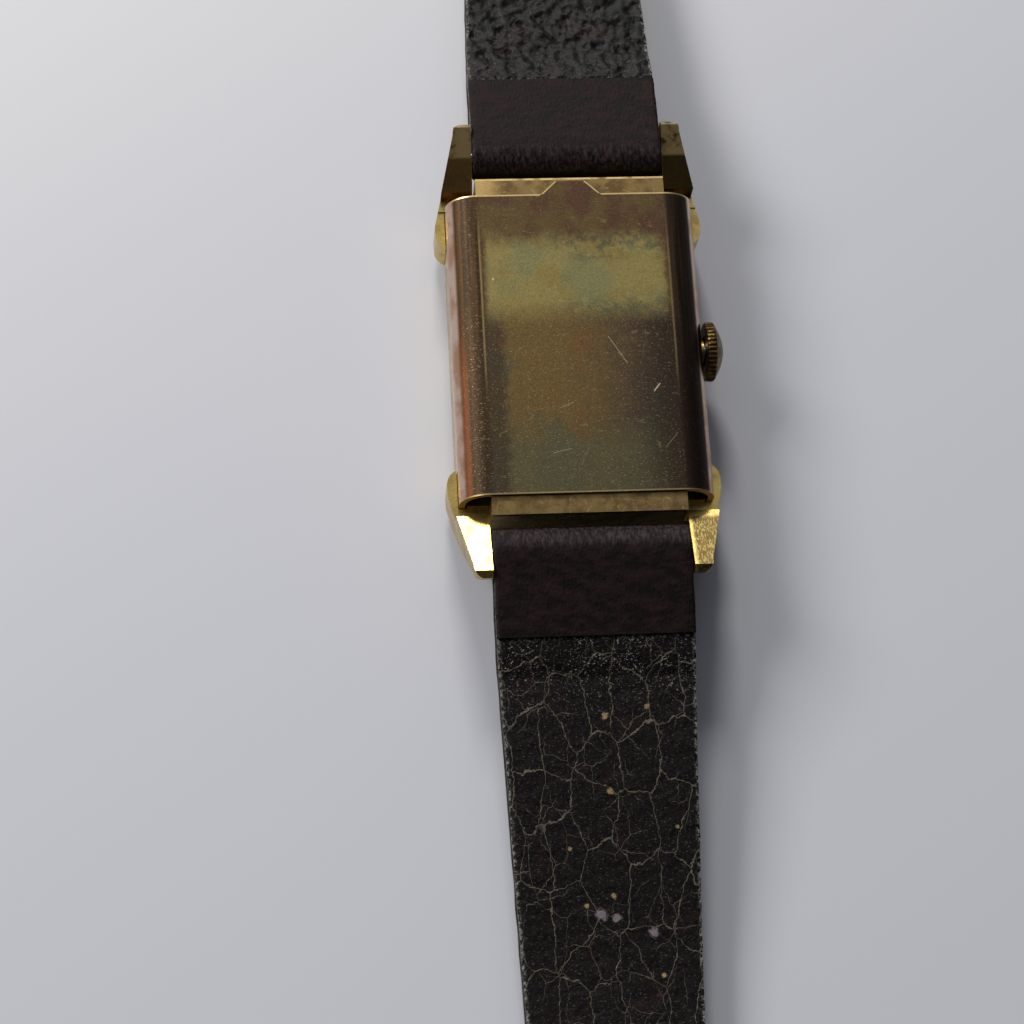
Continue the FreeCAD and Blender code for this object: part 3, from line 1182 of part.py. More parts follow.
def pocket_through(body, corners, low, high):
    """Opening along Y, cut both ways from the middle of the piece."""
    sketch = sketch_at(body, "XZ_Plane", -(low + high) / 2)
    draw(sketch, [corners])
    feature = body.newObject("PartDesign::Pocket", f"{body.Label}_opening")
    feature.Profile = sketch
    feature.Midplane = True
    feature.Length = (high - low).value
    feature.setExpression("Length", (high - low).text)
    return feature


def make_buckle():
    rest = keeper_wall
    middle = rest + strap_thickness / 2
    ring = -(bar_reach + short_length)
    eye = bar_radius + 0.6
    arm_inner = strap_tail_half + soft_gap * 2
    arm_outer = arm_inner + buckle_wire
    front = -buckle_reach
    frame = new_body("buckle_frame", y=ring, z=middle)
    low = -middle
    side = [(0, eye), (front + buckle_wire, low + buckle_wire), (front, low + buckle_wire), (front, low),
            (front + buckle_wire, low), (0, -eye)]
    for shape in ((0, 0, eye), side):
        pad(frame, [shape], -arm_outer, arm_outer, "YZ_Plane")
    inside = block(-arm_inner, front + buckle_wire, arm_inner, eye + 1)
    pocket(frame, [inside], low - 1, eye + 1)
    pocket(frame, [(0, 0, bar_pin_radius * 1.2)], -arm_outer + 0.3, arm_outer - 0.3, "YZ_Plane")
    bar = new_body("buckle_bar", y=ring, z=middle)
    pad(bar, [(0, 0, bar_radius)], -arm_inner + running, arm_inner - running, "YZ_Plane")
    pad(bar, [(0, 0, bar_pin_radius * 1.2 - slip)], -arm_outer + 0.3 + slip, arm_outer - 0.3 - slip, "YZ_Plane")
    tongue = new_body("buckle_tongue", y=ring, z=middle)
    thick = 0.7
    hook = bar_radius + running
    top = low + buckle_wire + running
    pad(tongue, [(0, 0, hook + 0.5)], -tongue_half_width, tongue_half_width, "YZ_Plane")
    pin = [(origin, hook + 0.45), (front * 0.55, hook + 0.35), (front - 0.3, top + thick), (front - 0.3, top),
           (front + buckle_wire + 0.3, top), (front * 0.5, hook - 0.35), (-hook * 0.8, -hook * 0.2), (-hook * 0.4, hook * 0.6)]
    pad(tongue, [pin], -tongue_half_width, tongue_half_width, "YZ_Plane")
    pocket(tongue, [(0, 0, hook)], -tongue_half_width - 1, tongue_half_width + 1, "YZ_Plane")


def lying_rod(x, y, z, length, radius):
    """Rod along X, starting at x."""
    rod = doc.addObject("Part::Cylinder", "rod")
    rod.Placement = FreeCAD.Placement(FreeCAD.Vector(), FreeCAD.Rotation(FreeCAD.Vector(0, 1, 0), 90))
    rod.setExpression("Radius", as_size(radius).text)
    rod.setExpression("Height", as_size(length).text)
    place(rod, x, y, z)
    return rod


def finished(piece):
    """A piece counts only if every object behind it recomputed and its shape is sound."""
    shape = piece.Shape
    return not shape.isNull() and shape.isValid() and len(shape.Solids) > 0


def main():
    make_case_back()
    make_bezel()
    make_crystal()
    make_case_tube()
    make_dial()
    make_hour_markers()
    make_hands()
    make_main_plate()
    make_movement_ring()
    make_barrel_bridge()
    make_train_bridge()
    make_balance_cock()
    make_pallet_bridge()
    make_screws()
    make_jewels()
    make_train()
    make_barrel()
    make_winding_wheels()
    make_motion_work()
    make_pallet_fork()
    make_balance()
    make_winding_work()
    make_setting_levers()
    make_crown()
    make_spring_bars()
    make_strap_half("short", -1, short_length, keeper_wall, False)
    make_strap_half("long", 1, long_length, origin, True)
    make_keeper("fixed_keeper", short_length - fixed_keeper_back)
    make_keeper("free_keeper", short_length - free_keeper_back)
    make_buckle()
    doc.recompute()
    failed = [o.Label for o in doc.Objects if {"Invalid", "Error"} & set(o.State)]
    failed += [piece.Label for piece in pieces if not finished(piece)]
    for piece in pieces:
        print(piece.Label, len(piece.Shape.Solids), round(piece.Shape.Volume, 3))
    if failed:
        raise RuntimeError("these did not build: " + ", ".join(failed))
    os.makedirs("parts", exist_ok=True)
    for piece in pieces:
        piece.Shape.exportStep(os.path.join("parts", f"{piece.Label}.step"))


main()
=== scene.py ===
import math
import bmesh
import bpy
import numpy as np
from mathutils import Matrix, Vector


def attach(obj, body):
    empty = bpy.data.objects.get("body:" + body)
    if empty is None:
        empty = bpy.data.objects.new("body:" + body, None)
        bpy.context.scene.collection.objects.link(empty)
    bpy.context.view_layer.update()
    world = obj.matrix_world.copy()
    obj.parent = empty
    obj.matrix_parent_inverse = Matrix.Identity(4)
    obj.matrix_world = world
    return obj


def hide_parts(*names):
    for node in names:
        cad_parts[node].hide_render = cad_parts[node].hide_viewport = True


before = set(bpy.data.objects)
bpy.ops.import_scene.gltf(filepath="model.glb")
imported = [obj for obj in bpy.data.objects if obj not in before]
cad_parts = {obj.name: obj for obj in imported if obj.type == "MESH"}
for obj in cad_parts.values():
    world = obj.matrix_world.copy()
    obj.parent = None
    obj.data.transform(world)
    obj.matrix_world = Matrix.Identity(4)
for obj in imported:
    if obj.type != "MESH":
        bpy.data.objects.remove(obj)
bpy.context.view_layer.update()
mm = 0.001  # sizes below are in millimetres

print("camera and light")

sensor = 36
view = {"tiltX": -0.319, "tiltY": 0.081, "tiltZ": 0.028,  # turn of the watch against the lens, radians
        "shiftX": 4.971, "shiftY": 11.418, "distance": 208.911,
        "focal": 2480 / 1024 * sensor}


def placeCamera():
    # The watch is turned about X, then Y, then Z and seen from straight above: this undoes it
    turned = (Matrix.Rotation(view["tiltZ"], 3, "Z") @ Matrix.Rotation(view["tiltY"], 3, "Y")
              @ Matrix.Rotation(view["tiltX"], 3, "X"))
    eye = turned.transposed() @ Vector((-view["shiftX"], -view["shiftY"], view["distance"]))
    lens = bpy.data.cameras.new("lens")
    lens.lens = view["focal"]
    lens.sensor_width = sensor
    lens.clip_start = 0.001
    camera = bpy.data.objects.new("camera", lens)
    camera.matrix_world = Matrix.Translation(eye * mm) @ turned.transposed().to_4x4()
    bpy.context.collection.objects.link(camera)
    bpy.context.scene.camera = camera


# A value on its way through a finish: arithmetic on it adds Math nodes
class Wire:
    def __init__(self, finish, socket):
        self.finish, self.socket = finish, socket

    def math(self, operation, *others):
        values = dict(enumerate((self, *others)))
        return self.finish.node("Math", {"operation": operation}, values)

    def __add__(self, other): return self.math("ADD", other)
    def __radd__(self, other): return self.math("ADD", other)
    def __sub__(self, other): return self.math("SUBTRACT", other)
    def __mul__(self, other): return self.math("MULTIPLY", other)
    def __rmul__(self, other): return self.math("MULTIPLY", other)
    def __truediv__(self, other): return self.math("DIVIDE", other)
    def __pow__(self, other): return self.math("POWER", other)
    def __abs__(self): return self.math("ABSOLUTE")

    def __rsub__(self, other):
        return self.finish.node("Math", {"operation": "SUBTRACT"}, {0: other, 1: self})

    def above(self, low, high):
        # 0 below low, 1 above high, smooth between
        return self.finish.node("MapRange", {"interpolation_type": "SMOOTHSTEP"},
                                {"Value": self, "From Min": low, "From Max": high})

    def within(self, low, high, soft):
        return self.above(low - soft, low + soft) * (1 - self.above(high - soft, high + soft))


# A node tree that is built up value by value
class Nodes:
    def __init__(self, tree):
        self.tree = tree

    def put(self, socket, value):
        if isinstance(value, Wire):
            self.tree.links.new(value.socket, socket)
        elif socket.type == "RGBA" and len(value) == 3:
            socket.default_value = (*value, 1)
        else:
            socket.default_value = value

    def node(self, kind, settings=None, inputs=None, output=0):
        made = self.tree.nodes.new("ShaderNode" + kind)
        for name, value in (settings or {}).items():
            if name == "stops":
                self.setStops(made.color_ramp, value)
            else:
                setattr(made, name, value)
        for name, value in (inputs or {}).items():
            self.put(made.inputs[name], value)
        return Wire(self, made.outputs[output])

    def setStops(self, ramp, stops):
        while len(ramp.elements) < len(stops):
            ramp.elements.new(1)
        for element, (position, colour) in zip(ramp.elements, stops):
            element.position = position
            element.color = (*colour, 1)

    def mix(self, first, second, amount, blend="MIX"):
        return self.node("Mix", {"data_type": "RGBA", "blend_type": blend},
                         {0: amount, 6: first, 7: second}, output=2)

    def split(self, vector):
        outputs = self.node("SeparateXYZ", {}, {"Vector": vector}).socket.node.outputs
        return [Wire(self, outputs[i]) for i in range(3)]


# One material, worked out from the place on its piece
class Finish(Nodes):
    def __init__(self, name, **shader):
        self.material = bpy.data.materials.new(name)
        self.material.use_nodes = True
        super().__init__(self.material.node_tree)
        self.shader = self.tree.nodes["Principled BSDF"]
        self.shade(**shader)

    def shade(self, **values):
        for name, value in values.items():
            self.put(self.shader.inputs[name.replace("_", " ")], value)

    def place(self, stretch=(1, 1, 1), move=(0, 0, 0)):
        # Place on the piece in millimetres, stretched
        spot = self.node("TexCoord", output="Object")
        return self.node("Mapping", {}, {"Vector": spot, "Location": move,
                                         "Scale": tuple(1000 * s for s in stretch)})

    def axes(self):
        return self.split(self.place())

    def facing(self):
        return self.split(self.node("TexCoord", output="Normal"))

    def noise(self, size, detail=4, rough=0.55, stretch=(1, 1, 1), move=(0, 0, 0), bend=0):
        return self.node("TexNoise", {}, {"Vector": self.place(stretch, move), "Scale": 1 / size,
                                          "Detail": detail, "Roughness": rough, "Distortion": bend})

    def bump(self, height, depth, strength=1.0, under=None):
        inputs = {"Height": height, "Distance": depth * mm, "Strength": strength}
        if under is not None:
            inputs["Normal"] = under
        return self.node("Bump", {}, inputs)


def onNodes(finish, *names):
    for name in names:
        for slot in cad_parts[name].material_slots:
            slot.material = finish.material


def srgb(r, g, b):
    # Colour from numbers between 0 and 255
    return tuple(((c / 255 + 0.055) / 1.055) ** 2.4 if c > 10 else c / 255 / 12.92 for c in (r, g, b))


room = {"sky": srgb(214, 218, 228), "shade": srgb(72, 70, 74), "strength": 0.72,
        "table": srgb(189, 190, 197), "tablePaintedLit": srgb(204, 203, 204), "reach": 1.5}
lamps = {"window": {"place": (-0.36, 0.22, 0.3), "size": (0.2, 0.2), "power": 2.35,
                    "colour": (1.0, 0.985, 0.96)},
         "lowGlow": {"place": (-0.045, 0.6, 0.4), "size": (0.15, 0.12), "power": 3.0,
                     "colour": (1.0, 0.99, 0.94)}}


def lightRoom():
    # Sky that is pale overhead and far off, and dark behind the camera and to the right
    world = bpy.data.worlds.new("room")
    world.use_nodes = True
    bpy.context.scene.world = world
    sky = Nodes(world.node_tree)
    back = sky.tree.nodes["Background"]
    east, north = sky.split(sky.node("TexCoord", output="Generated"))[:2]
    glow = north.above(-0.25, 0.32) * (1 - east.above(0.15, 0.75)) * (1 - (0 - east).above(0.75, 1.1) * 0.5)
    sky.put(back.inputs["Color"], sky.mix(room["shade"], room["sky"], glow))
    back.inputs["Strength"].default_value = room["strength"]
    for name, part in lamps.items():
        lamp = bpy.data.lights.new(name, "AREA")
        lamp.shape = "RECTANGLE"
        lamp.size, lamp.size_y = part["size"]
        lamp.energy = part["power"]
        lamp.color = part["colour"]
        holder = bpy.data.objects.new(name, lamp)
        holder.location = part["place"]
        holder.rotation_euler = (-Vector(part["place"])).to_track_quat("-Z", "Y").to_euler()
        bpy.context.collection.objects.link(holder)


def makeTable():
    # Pale table top with painted light: a little paler towards the window
    top = bpy.data.meshes.new("table")
    reach = room["reach"]
    corners = [(-reach, -reach, 0), (reach, -reach, 0), (reach, reach, 0), (-reach, reach, 0)]
    top.from_pydata(corners, [], [(0, 1, 2, 3)])
    table = bpy.data.objects.new("table", top)
    bpy.context.collection.objects.link(table)
    cover = Finish("tableTop", Roughness=0.85, Specular_IOR_Level=0.2)
    x, y = cover.axes()[:2]
    pale = (y * 1.1 - x * 0.55).above(-10, 105)
    cover.shade(Base_Color=cover.mix(room["table"], room["tablePaintedLit"], pale))
    top.materials.append(cover.material)


placeCamera()
lightRoom()
makeTable()

print("metal finishes")

gold = {"bright": srgb(206, 178, 104), "dull": srgb(132, 106, 60), "rose": srgb(206, 178, 158),
        "roseBrown": srgb(170, 122, 84), "wear": srgb(240, 222, 170)}
rims = {"tone": srgb(140, 116, 74), "dark": srgb(104, 84, 54), "edge": srgb(236, 204, 142),
        "lit": srgb(214, 178, 116), "edgeStart": 14.45, "edgeEnd": 14.52}
lugs = {"brushedDark": srgb(86, 74, 44), "brushedPale": srgb(142, 122, 76), "paintedShadeLeft": srgb(128, 92, 50),
        "paintedShadeRight": srgb(52, 36, 20), "inner": 8.0, "paintedShadeStart": 13.8, "brushedStart": -14.6}
back = {"band": srgb(142, 128, 78), "bandWarm": srgb(136, 116, 62), "bandGreen": srgb(112, 120, 88),
        "bandEdge": srgb(76, 88, 72), "bandLow": 2.3, "bandHigh": 8.9,
        "top": srgb(92, 75, 46), "topRed": srgb(84, 60, 44), "tan": srgb(106, 86, 50),
        "purple": srgb(74, 60, 48), "teal": srgb(70, 78, 66), "orange": srgb(116, 76, 42),
        "green": srgb(88, 84, 60), "dark": srgb(46, 34, 25), "leftStrip": srgb(64, 53, 40),
        "glint": srgb(206, 184, 134), "scratch": srgb(226, 202, 160), "bevel": srgb(232, 200, 138),
        "end": 13.05, "lipBase": 2.45, "lipLean": 1.04}  # cut end; the lip's half width and its slant
shoulders = {"brown": srgb(36, 25, 14), "tan": srgb(76, 53, 29), "shade": srgb(34, 25, 15),
             "brushed": srgb(146, 112, 66), "orange": srgb(150, 88, 52), "black": srgb(38, 26, 19),
             "olive": srgb(66, 50, 32), "creaseHighlight": srgb(176, 152, 98), "creaseAt": 7.78}
# Each mark on the back: start, end, width and strength
marks = [((2.33, 0.25), (3.74, -2.12), 0.05, 0.26), ((5.75, -4.59), (6.26, -3.94), 0.07, 0.7),
         ((6.34, -9.45), (7.4, -8.25), 0.04, 0.2), ((-2.77, -9.69), (-1.22, -9.33), 0.05, 0.22),
         ((-1.98, -5.87), (-0.82, -5.38), 0.05, 0.2), ((-6.85, 5.48), (-6.77, 5.56), 0.14, 0.7)]


def scratchLine(x, y, start, end, width):
    # Distance from the line through both ends, kept between them
    length = math.dist(start, end)
    dx, dy = (end[0] - start[0]) / length, (end[1] - start[1]) / length
    along = (x - start[0]) * dx + (y - start[1]) * dy
    aside = abs((y - start[1]) * dx - (x - start[0]) * dy)
    return (1 - aside.above(width * 0.3, width)) * along.within(0, length, 0.1)


def hairlines(finish, size, thin, move):
    # Faint short hairlines: thin level lines of two stretched noises
    first = finish.noise(size, 1, 0.4, (0.16, 1.3, 1), move, bend=0.2)
    second = finish.noise(size, 1, 0.4, (0.9, 0.2, 1), (move[1], move[0], 1), bend=0.2)
    lines = (1 - abs(first - 0.5).above(0, thin)).math("MAXIMUM", 1 - abs(second - 0.56).above(0, thin))
    return lines * finish.noise(size * 0.5, 2, 0.5, move=(move[0], 4, 2)).above(0.5, 0.62)


def caseGold():
    # Worn gold: bright and dull clouds, duller rims, painted shade on the pair of lugs at +Y, and one lug
    # brushed, its tone darkened as painted shade
    finish = Finish("caseGold", Metallic=1.0)
    x, y, z = finish.axes()
    dull = finish.noise(1.6, 5, 0.65)
    grain = finish.noise(0.16, 3, 0.7)
    colour = finish.mix(gold["bright"], gold["dull"], dull.above(0.42, 0.72) * 0.6)
    rim = z.above(7.3, 7.6) * (1 - abs(y).above(14.7, 14.9))
    colour = finish.mix(colour, finish.mix(rims["tone"], rims["dark"], dull.above(0.4, 0.62)), rim)
    wear = hairlines(finish, 0.9, 0.012, (3, 7, 0))
    colour = finish.mix(colour, gold["wear"], wear * 0.2)
    brush = finish.noise(0.12, 2, 0.6, (1.2, 0.12, 1), (5, 0, 0))
    # Brushed lug at -Y, +X: real brushing, with its tone darkened as painted shade
    brushed = x.above(lugs["inner"], lugs["inner"] + 0.4)
    brushed = brushed * (1 - y.above(lugs["brushedStart"] - 0.4, lugs["brushedStart"]))
    brushedAndShadedTone = finish.mix(lugs["brushedDark"], lugs["brushedPale"], brush.above(0.45, 0.62))
    colour = finish.mix(colour, brushedAndShadedTone, brushed)
    # Painted shade on the lugs at +Y, whose faces turn away from the window's reflection; deeper on the right
    # one
    paintedLugShade = abs(x).above(lugs["inner"] - 0.1, lugs["inner"] + 0.1)
    paintedLugShade = paintedLugShade * y.above(lugs["paintedShadeStart"], lugs["paintedShadeStart"] + 0.4)
    paintedLugShadeTone = finish.mix(lugs["paintedShadeLeft"], lugs["paintedShadeRight"], x.above(-1, 1))
    colour = finish.mix(colour, paintedLugShadeTone, paintedLugShade * 0.85)
    # Painted highlight along the rims' edge at +Y, facing the window, broken up by the dull clouds
    ends = abs(y).above(rims["edgeStart"], rims["edgeEnd"]) * z.above(7.2, 7.3)
    colour = finish.mix(colour, rims["edge"], ends * y.above(0, 1) * dull.above(0.34, 0.5) * 0.8)
    lit = (1 - x.above(-7.6, -5)) * y.above(12, 13) * rim
    colour = finish.mix(colour, rims["lit"], lit * 0.6)
    grainTone = finish.mix((1, 1, 1), (0.5, 0.5, 0.5), grain.above(0.3, 0.75))
    colour = finish.mix(colour, grainTone, 0.35, "MULTIPLY")
    relief = dull * 0.5 + grain * 0.25 - wear * 0.5
    finish.shade(Base_Color=colour, Roughness=0.2 + dull * 0.18 + rim * 0.14 + brushed * 0.12,
                 Normal=finish.bump(relief, 0.01, 0.5))
    return finish


def patinaBack():
    # Olive band across the upper panel, tan and purple browns below it, greener towards the cut end
    finish = Finish("patinaBack", Metallic=0.85)
    x, y, z = finish.axes()
    nx, ny = finish.facing()[:2]
    cloud = finish.noise(5.2, 4, 0.55, move=(3, 1, 0))
    patch = finish.noise(2.6, 4, 0.6, move=(9, 4, 2))
    fine = finish.noise(0.7, 4, 0.7, move=(1, 8, 5))
    grain = finish.noise(0.13, 3, 0.75)
    drift = (cloud - 0.5) * 3.4 + (fine - 0.5) * 1.4
    low = 1 - (y + drift).above(1.4, 3.2)
    # Panel, from its top end to its cut end
    colour = finish.mix(back["top"], back["topRed"], patch.above(0.42, 0.6))
    lower = finish.mix(back["tan"], back["purple"], (x * 0.3 + drift).above(-0.6, 1.4))
    lower = finish.mix(lower, back["orange"], patch.above(0.52, 0.68) * (0 - x).above(-3, 1) * 0.55)
    lower = finish.mix(lower, back["teal"], cloud.above(0.5, 0.62) * 0.5)
    lower = finish.mix(lower, back["green"], (0 - y + drift).above(5.5, 10) * 0.75)
    colour = finish.mix(colour, lower, low)
    side = (x + (cloud - 0.5) * 2).above(3.4, 7.6)
    colour = finish.mix(colour, back["dark"], side * low * 0.85)
    strip = 1 - (x + (fine - 0.5) * 1.5).above(-6.7, -5.7)
    colour = finish.mix(colour, back["leftStrip"], strip * low * 0.8)
    ragged = (cloud - 0.5) * 1.5 + (patch - 0.5) * 1.6 + (fine - 0.5) * 1.3
    band = (y + ragged).within(back["bandLow"], back["bandHigh"], 1.25)
    bandSides = 1 - (y + ragged).within(back["bandLow"] + 1.4, back["bandHigh"] - 1.4, 0.9)
    bandTone = finish.mix(back["band"], back["bandWarm"], patch.above(0.5, 0.62) * 0.6)
    bandTone = finish.mix(bandTone, back["bandGreen"], cloud.above(0.46, 0.6) * 0.5)
    greenish = bandSides * x.above(-3, 1) * fine.above(0.4, 0.6)
    bandTone = finish.mix(bandTone, back["bandEdge"], greenish * 0.75)
    band = band * (1 - (abs(x) + (fine - 0.5)).above(7.0, 7.7))
    colour = finish.mix(colour, bandTone, band * 0.92)
    # Shoulders: brushed across; warm on the left as painted light from the window side, near black on the
    # right as painted shade
    brush = finish.noise(0.22, 3, 0.6, (0.35, 2.6, 1))
    stripe = finish.noise(0.8, 2, 0.5, (1.6, 0.05, 1))
    brushes = brush.above(0.6, 0.7) * (0 - x).within(7.6, 9.0, 0.5)
    outer = (0 - x).within(9.35, 9.8, 0.25) * (1 - y.above(-4, 4))
    warm = finish.mix(shoulders["brown"], shoulders["tan"], stripe.above(0.36, 0.64))
    warm = finish.mix(warm, shoulders["shade"], (1 - y.above(-8, 9)) * 0.7)
    warm = finish.mix(warm, shoulders["brushed"], brushes * 0.55)
    warm = finish.mix(warm, shoulders["orange"], outer * 0.7)
    dark = finish.mix(shoulders["black"], shoulders["olive"], stripe.above(0.42, 0.7) * y.above(-4, 6))
    left = (0 - x).above(7.4, 8.1)
    right = x.above(7.4, 8.2)
    colour = finish.mix(colour, warm, left * 0.9)
    colour = finish.mix(colour, dark, right)
    # Painted highlight along the shoulders' crease, stronger on the lit left
    creaseHighlight = (1 - abs(abs(x) - shoulders["creaseAt"]).above(0.03, 0.13)) * y.within(-3, 10, 3)
    colour = finish.mix(colour, shoulders["creaseHighlight"], creaseHighlight * (0.3 + left * 0.2))
    # Fine grain, worn specks and marks over everything but the polished sides; the specks and hairlines are
    # real wear painted as glints, dimmed by painted shade on the right
    grainTone = finish.mix((0.45, 0.45, 0.45), (1, 1, 1), grain.above(0.25, 0.7))
    colour = finish.mix(colour, grainTone, 0.75, "MULTIPLY")
    speck = finish.noise(0.16, 2, 0.6, (0.9, 1.5, 1), (6, 2, 9)).above(0.6, 0.72)
    colour = finish.mix(colour, back["glint"], speck * (0.1 + low * 0.14) * (1 - right * 0.8))
    wear = hairlines(finish, 1.3, 0.01, (11, 5, 0)) * (1 - left)
    colour = finish.mix(colour, back["glint"], wear * 0.12 * (1 - right * 0.7))
    for start, end, width, strength in marks:
        colour = finish.mix(colour, back["scratch"], scratchLine(x, y, start, end, width) * strength)
    polished = abs(nx).above(0.74, 0.86)
    rose = finish.mix(gold["rose"], gold["roseBrown"], patch.above(0.42, 0.62) * 0.8)
    colour = finish.mix(colour, rose, polished)
    # Painted highlight on faces turned towards the ends, along the back's ends and round the opening lip,
    # strongest high up at +Y
    lip = back["lipBase"] - (y - back["end"]) * back["lipLean"]
    beyond = y.above(back["end"], back["end"] + 0.02)
    inside = lip - abs(x)
    line = abs(y).above(back["end"] - 0.14, back["end"] - 0.1)
    line = line * (1 - inside.above(-0.05, 0.05) * y.above(0, 1))
    line = line.math("MAXIMUM", beyond * (1 - inside.above(0.1, 0.18)))
    cut = abs(ny).above(0.5, 0.8).math("MAXIMUM", line * (0.25 + z.above(6, 7.5) * y.above(0, 1) * 0.55))
    colour = finish.mix(colour, back["bevel"], cut)
    relief = (brush * left * 0.6 + fine * 0.35 + grain * 0.25 - speck * 0.3) * (1 - polished)
    finish.shade(Base_Color=colour, Metallic=0.85 + polished * 0.15,
                 Roughness=0.46 - polished * 0.26 - cut * 0.2 + fine * 0.08,
                 Normal=finish.bump(relief, 0.018, 0.6))
    return finish


def plainMetal(name, colour, dark, rough=0.28, metallic=1.0, grain=1.2, brush=None):
    # Two tones clouded into each other, and a fine grain that may be brushed one way
    finish = Finish(name, Metallic=metallic)
    blotch = finish.noise(grain, 4, 0.6)
    fine = finish.noise(grain * 0.12, 2, 0.6, brush or (1, 1, 1))
    tone = finish.mix(colour, dark, blotch.above(0.45, 0.8) * 0.5)
    finish.shade(Base_Color=tone, Roughness=rough + blotch * 0.1,
                 Normal=finish.bump(fine * 0.5 + blotch * 0.2, 0.01, 0.5))
    return finish


crown = {"axis": 4.8, "root": 2.28, "crest": 2.4, "band": 11.35, "dome": 11.5, "tip": 12.0,
         "brass": srgb(118, 92, 54), "brown": srgb(54, 43, 28), "dirtAndShade": srgb(36, 26, 16),
         "olive": srgb(84, 80, 58)}


def crownGold():
    # Brass rubbed bright on the crests of the flutes, with dirt and painted shade between them
    finish = Finish("crownGold", Metallic=1.0)
    x, y, z = finish.axes()
    lift = z - crown["axis"]
    radius = (y * y + lift * lift).math("SQRT")
    dirtAndShade = (1 - radius.above(crown["root"], crown["crest"])) * (1 - x.above(crown["band"], crown["dome"]))
    grime = finish.noise(0.7, 4, 0.65)
    colour = finish.mix(crown["brass"], crown["brown"], grime.above(0.38, 0.62) * 0.9)
    colour = finish.mix(colour, crown["dirtAndShade"], dirtAndShade * 0.9)
    colour = finish.mix(colour, crown["olive"], x.above(crown["dome"], crown["tip"]) * 0.6)
    finish.shade(Base_Color=colour, Roughness=0.24 + grime * 0.22, Normal=finish.bump(grime, 0.02, 0.5))
    return finish


def clearCrystal():
    # Clear glass with faint hairlines
    finish = Finish("clearCrystal", Base_Color=(0.97, 0.98, 0.98), Roughness=0.03, IOR=1.49,
                    Transmission_Weight=1.0)
    wear = hairlines(finish, 2.0, 0.01, (2, 6, 0))
    finish.shade(Roughness=0.03 + wear * 0.12, Normal=finish.bump(wear, 0.004, 0.4))
    return finish


dial = {"secondsAt": 7.96, "secondsRadius": 2.2, "silver": srgb(226, 219, 198), "aged": srgb(204, 190, 156),
        "sides": srgb(186, 168, 130)}


def dialFace():
    # Silvered dial, aged towards its edge, with fine rings turned in the seconds dial
    finish = Finish("dialFace", Metallic=0.2)
    x, y = finish.axes()[:2]
    age = finish.noise(3.5, 4, 0.6)
    past = y - dial["secondsAt"]
    radius = (x * x + past * past).math("SQRT")
    outside = radius.above(dial["secondsRadius"], dial["secondsRadius"] + 0.1)
    rings = (radius * 26).math("SINE") * (1 - outside)
    colour = finish.mix(dial["silver"], dial["aged"], age.above(0.45, 0.75) * 0.6)
    colour = finish.mix(colour, dial["sides"], abs(x).above(5.6, 7.6) * 0.4)
    finish.shade(Base_Color=colour, Roughness=0.42, Normal=finish.bump(rings * 0.5 + age * 0.3, 0.006, 0.4))
    return finish


onNodes(caseGold(), "bezel", "case_tube")
onNodes(patinaBack(), "case_back")
onNodes(crownGold(), "crown")
onNodes(clearCrystal(), "crystal")
onNodes(dialFace(), "dial")
onNodes(plainMetal("buckleGold", gold["bright"], gold["dull"], 0.22, grain=2.0), "buckle_frame",
        "buckle_bar", "buckle_tongue")
onNodes(plainMetal("handGold", srgb(176, 136, 66), srgb(120, 88, 40), 0.2), "hour_markers", "hour_hand",
        "minute_hand")
onNodes(plainMetal("bluedSteel", srgb(34, 44, 92), srgb(22, 26, 52), 0.22), "seconds_hand", "hairspring")
plateMetal = plainMetal("plateMetal", srgb(186, 178, 158), srgb(150, 138, 110), 0.34, grain=2.5,
                        brush=(8, 0.6, 1))
onNodes(plateMetal, "main_plate", "movement_ring", "barrel_bridge", "train_bridge", "balance_cock",
        "pallet_bridge")
onNodes(plainMetal("polishedSteel", srgb(176, 178, 182), srgb(120, 122, 128), 0.24), "movement_screws",
        "barrel_arbor", "ratchet_wheel", "crown_wheel", "click", "click_spring", "pallet_fork",
        "escape_wheel", "regulator", "winding_stem", "winding_pinion", "clutch_wheel", "setting_lever",
        "clutch_lever", "mainspring", "cannon_pinion", "setting_wheel", "short_spring_bar",
        "long_spring_bar", "short_bar_pin_left", "short_bar_pin_right", "long_bar_pin_left",
        "long_bar_pin_right", "spring_bar_coils")
onNodes(plainMetal("wheelBrass", srgb(208, 172, 92), srgb(150, 118, 58), 0.26), "centre_wheel", "third_wheel",
        "fourth_wheel", "barrel_drum", "barrel_cover", "hour_wheel", "minute_wheel", "balance_wheel")
onNodes(plainMetal("jewelRed", srgb(150, 20, 48), srgb(96, 8, 30), 0.08, metallic=0.0), "jewels")
onNodes(plainMetal("gasketRubber", srgb(26, 26, 26), srgb(14, 14, 14), 0.7, metallic=0.0), "crown_gasket")

print("strap")

strap = {"barReach": 17.4, "barHeight": 6.3, "loopRadius": 1.7, "loopSheet": 0.88, "loopLean": 0.3,
         "fall": 6.5, "flapFall": 10.5, "flap": 0.8, "flapLength": 7.0, "blend": 3.0, "landing": 70.0,
         "leather": 1.15, "thickness": 2.1, "half": 7.95, "taperStart": 8.0, "taperEnd": 62.0,
         "tailHalf": 6.0, "corner": 0.32, "across": 41, "holeSteps": 6,
         "liningStart": 2.3, "liningInset": 0.03}
shortHalf = {"name": "short", "end": -1, "rest": 0.9, "tail": 72.85, "holes": 0, "relief": 0.035}
longHalf = {"name": "long", "end": 1, "rest": 0.0, "tail": 115.0, "tip": 7.0, "firstHole": 62.0, "pitch": 6.5,
            "holes": 7, "holeRadius": 0.9, "relief": 0.14}
seed = np.random.default_rng(12)


def ripple(x, y, size, waves=9):
    # Uneven surface between about -1 and 1: a sum of plane waves in random directions
    total = np.zeros(np.broadcast(x, y).shape)
    for _ in range(waves):
        angle, phase = seed.uniform(0, 2 * math.pi, 2)
        length = size * seed.uniform(0.6, 1.6)
        total += np.sin((x * math.cos(angle) + y * math.sin(angle)) * 2 * math.pi / length + phase)
    return total / waves ** 0.5 / 1.5


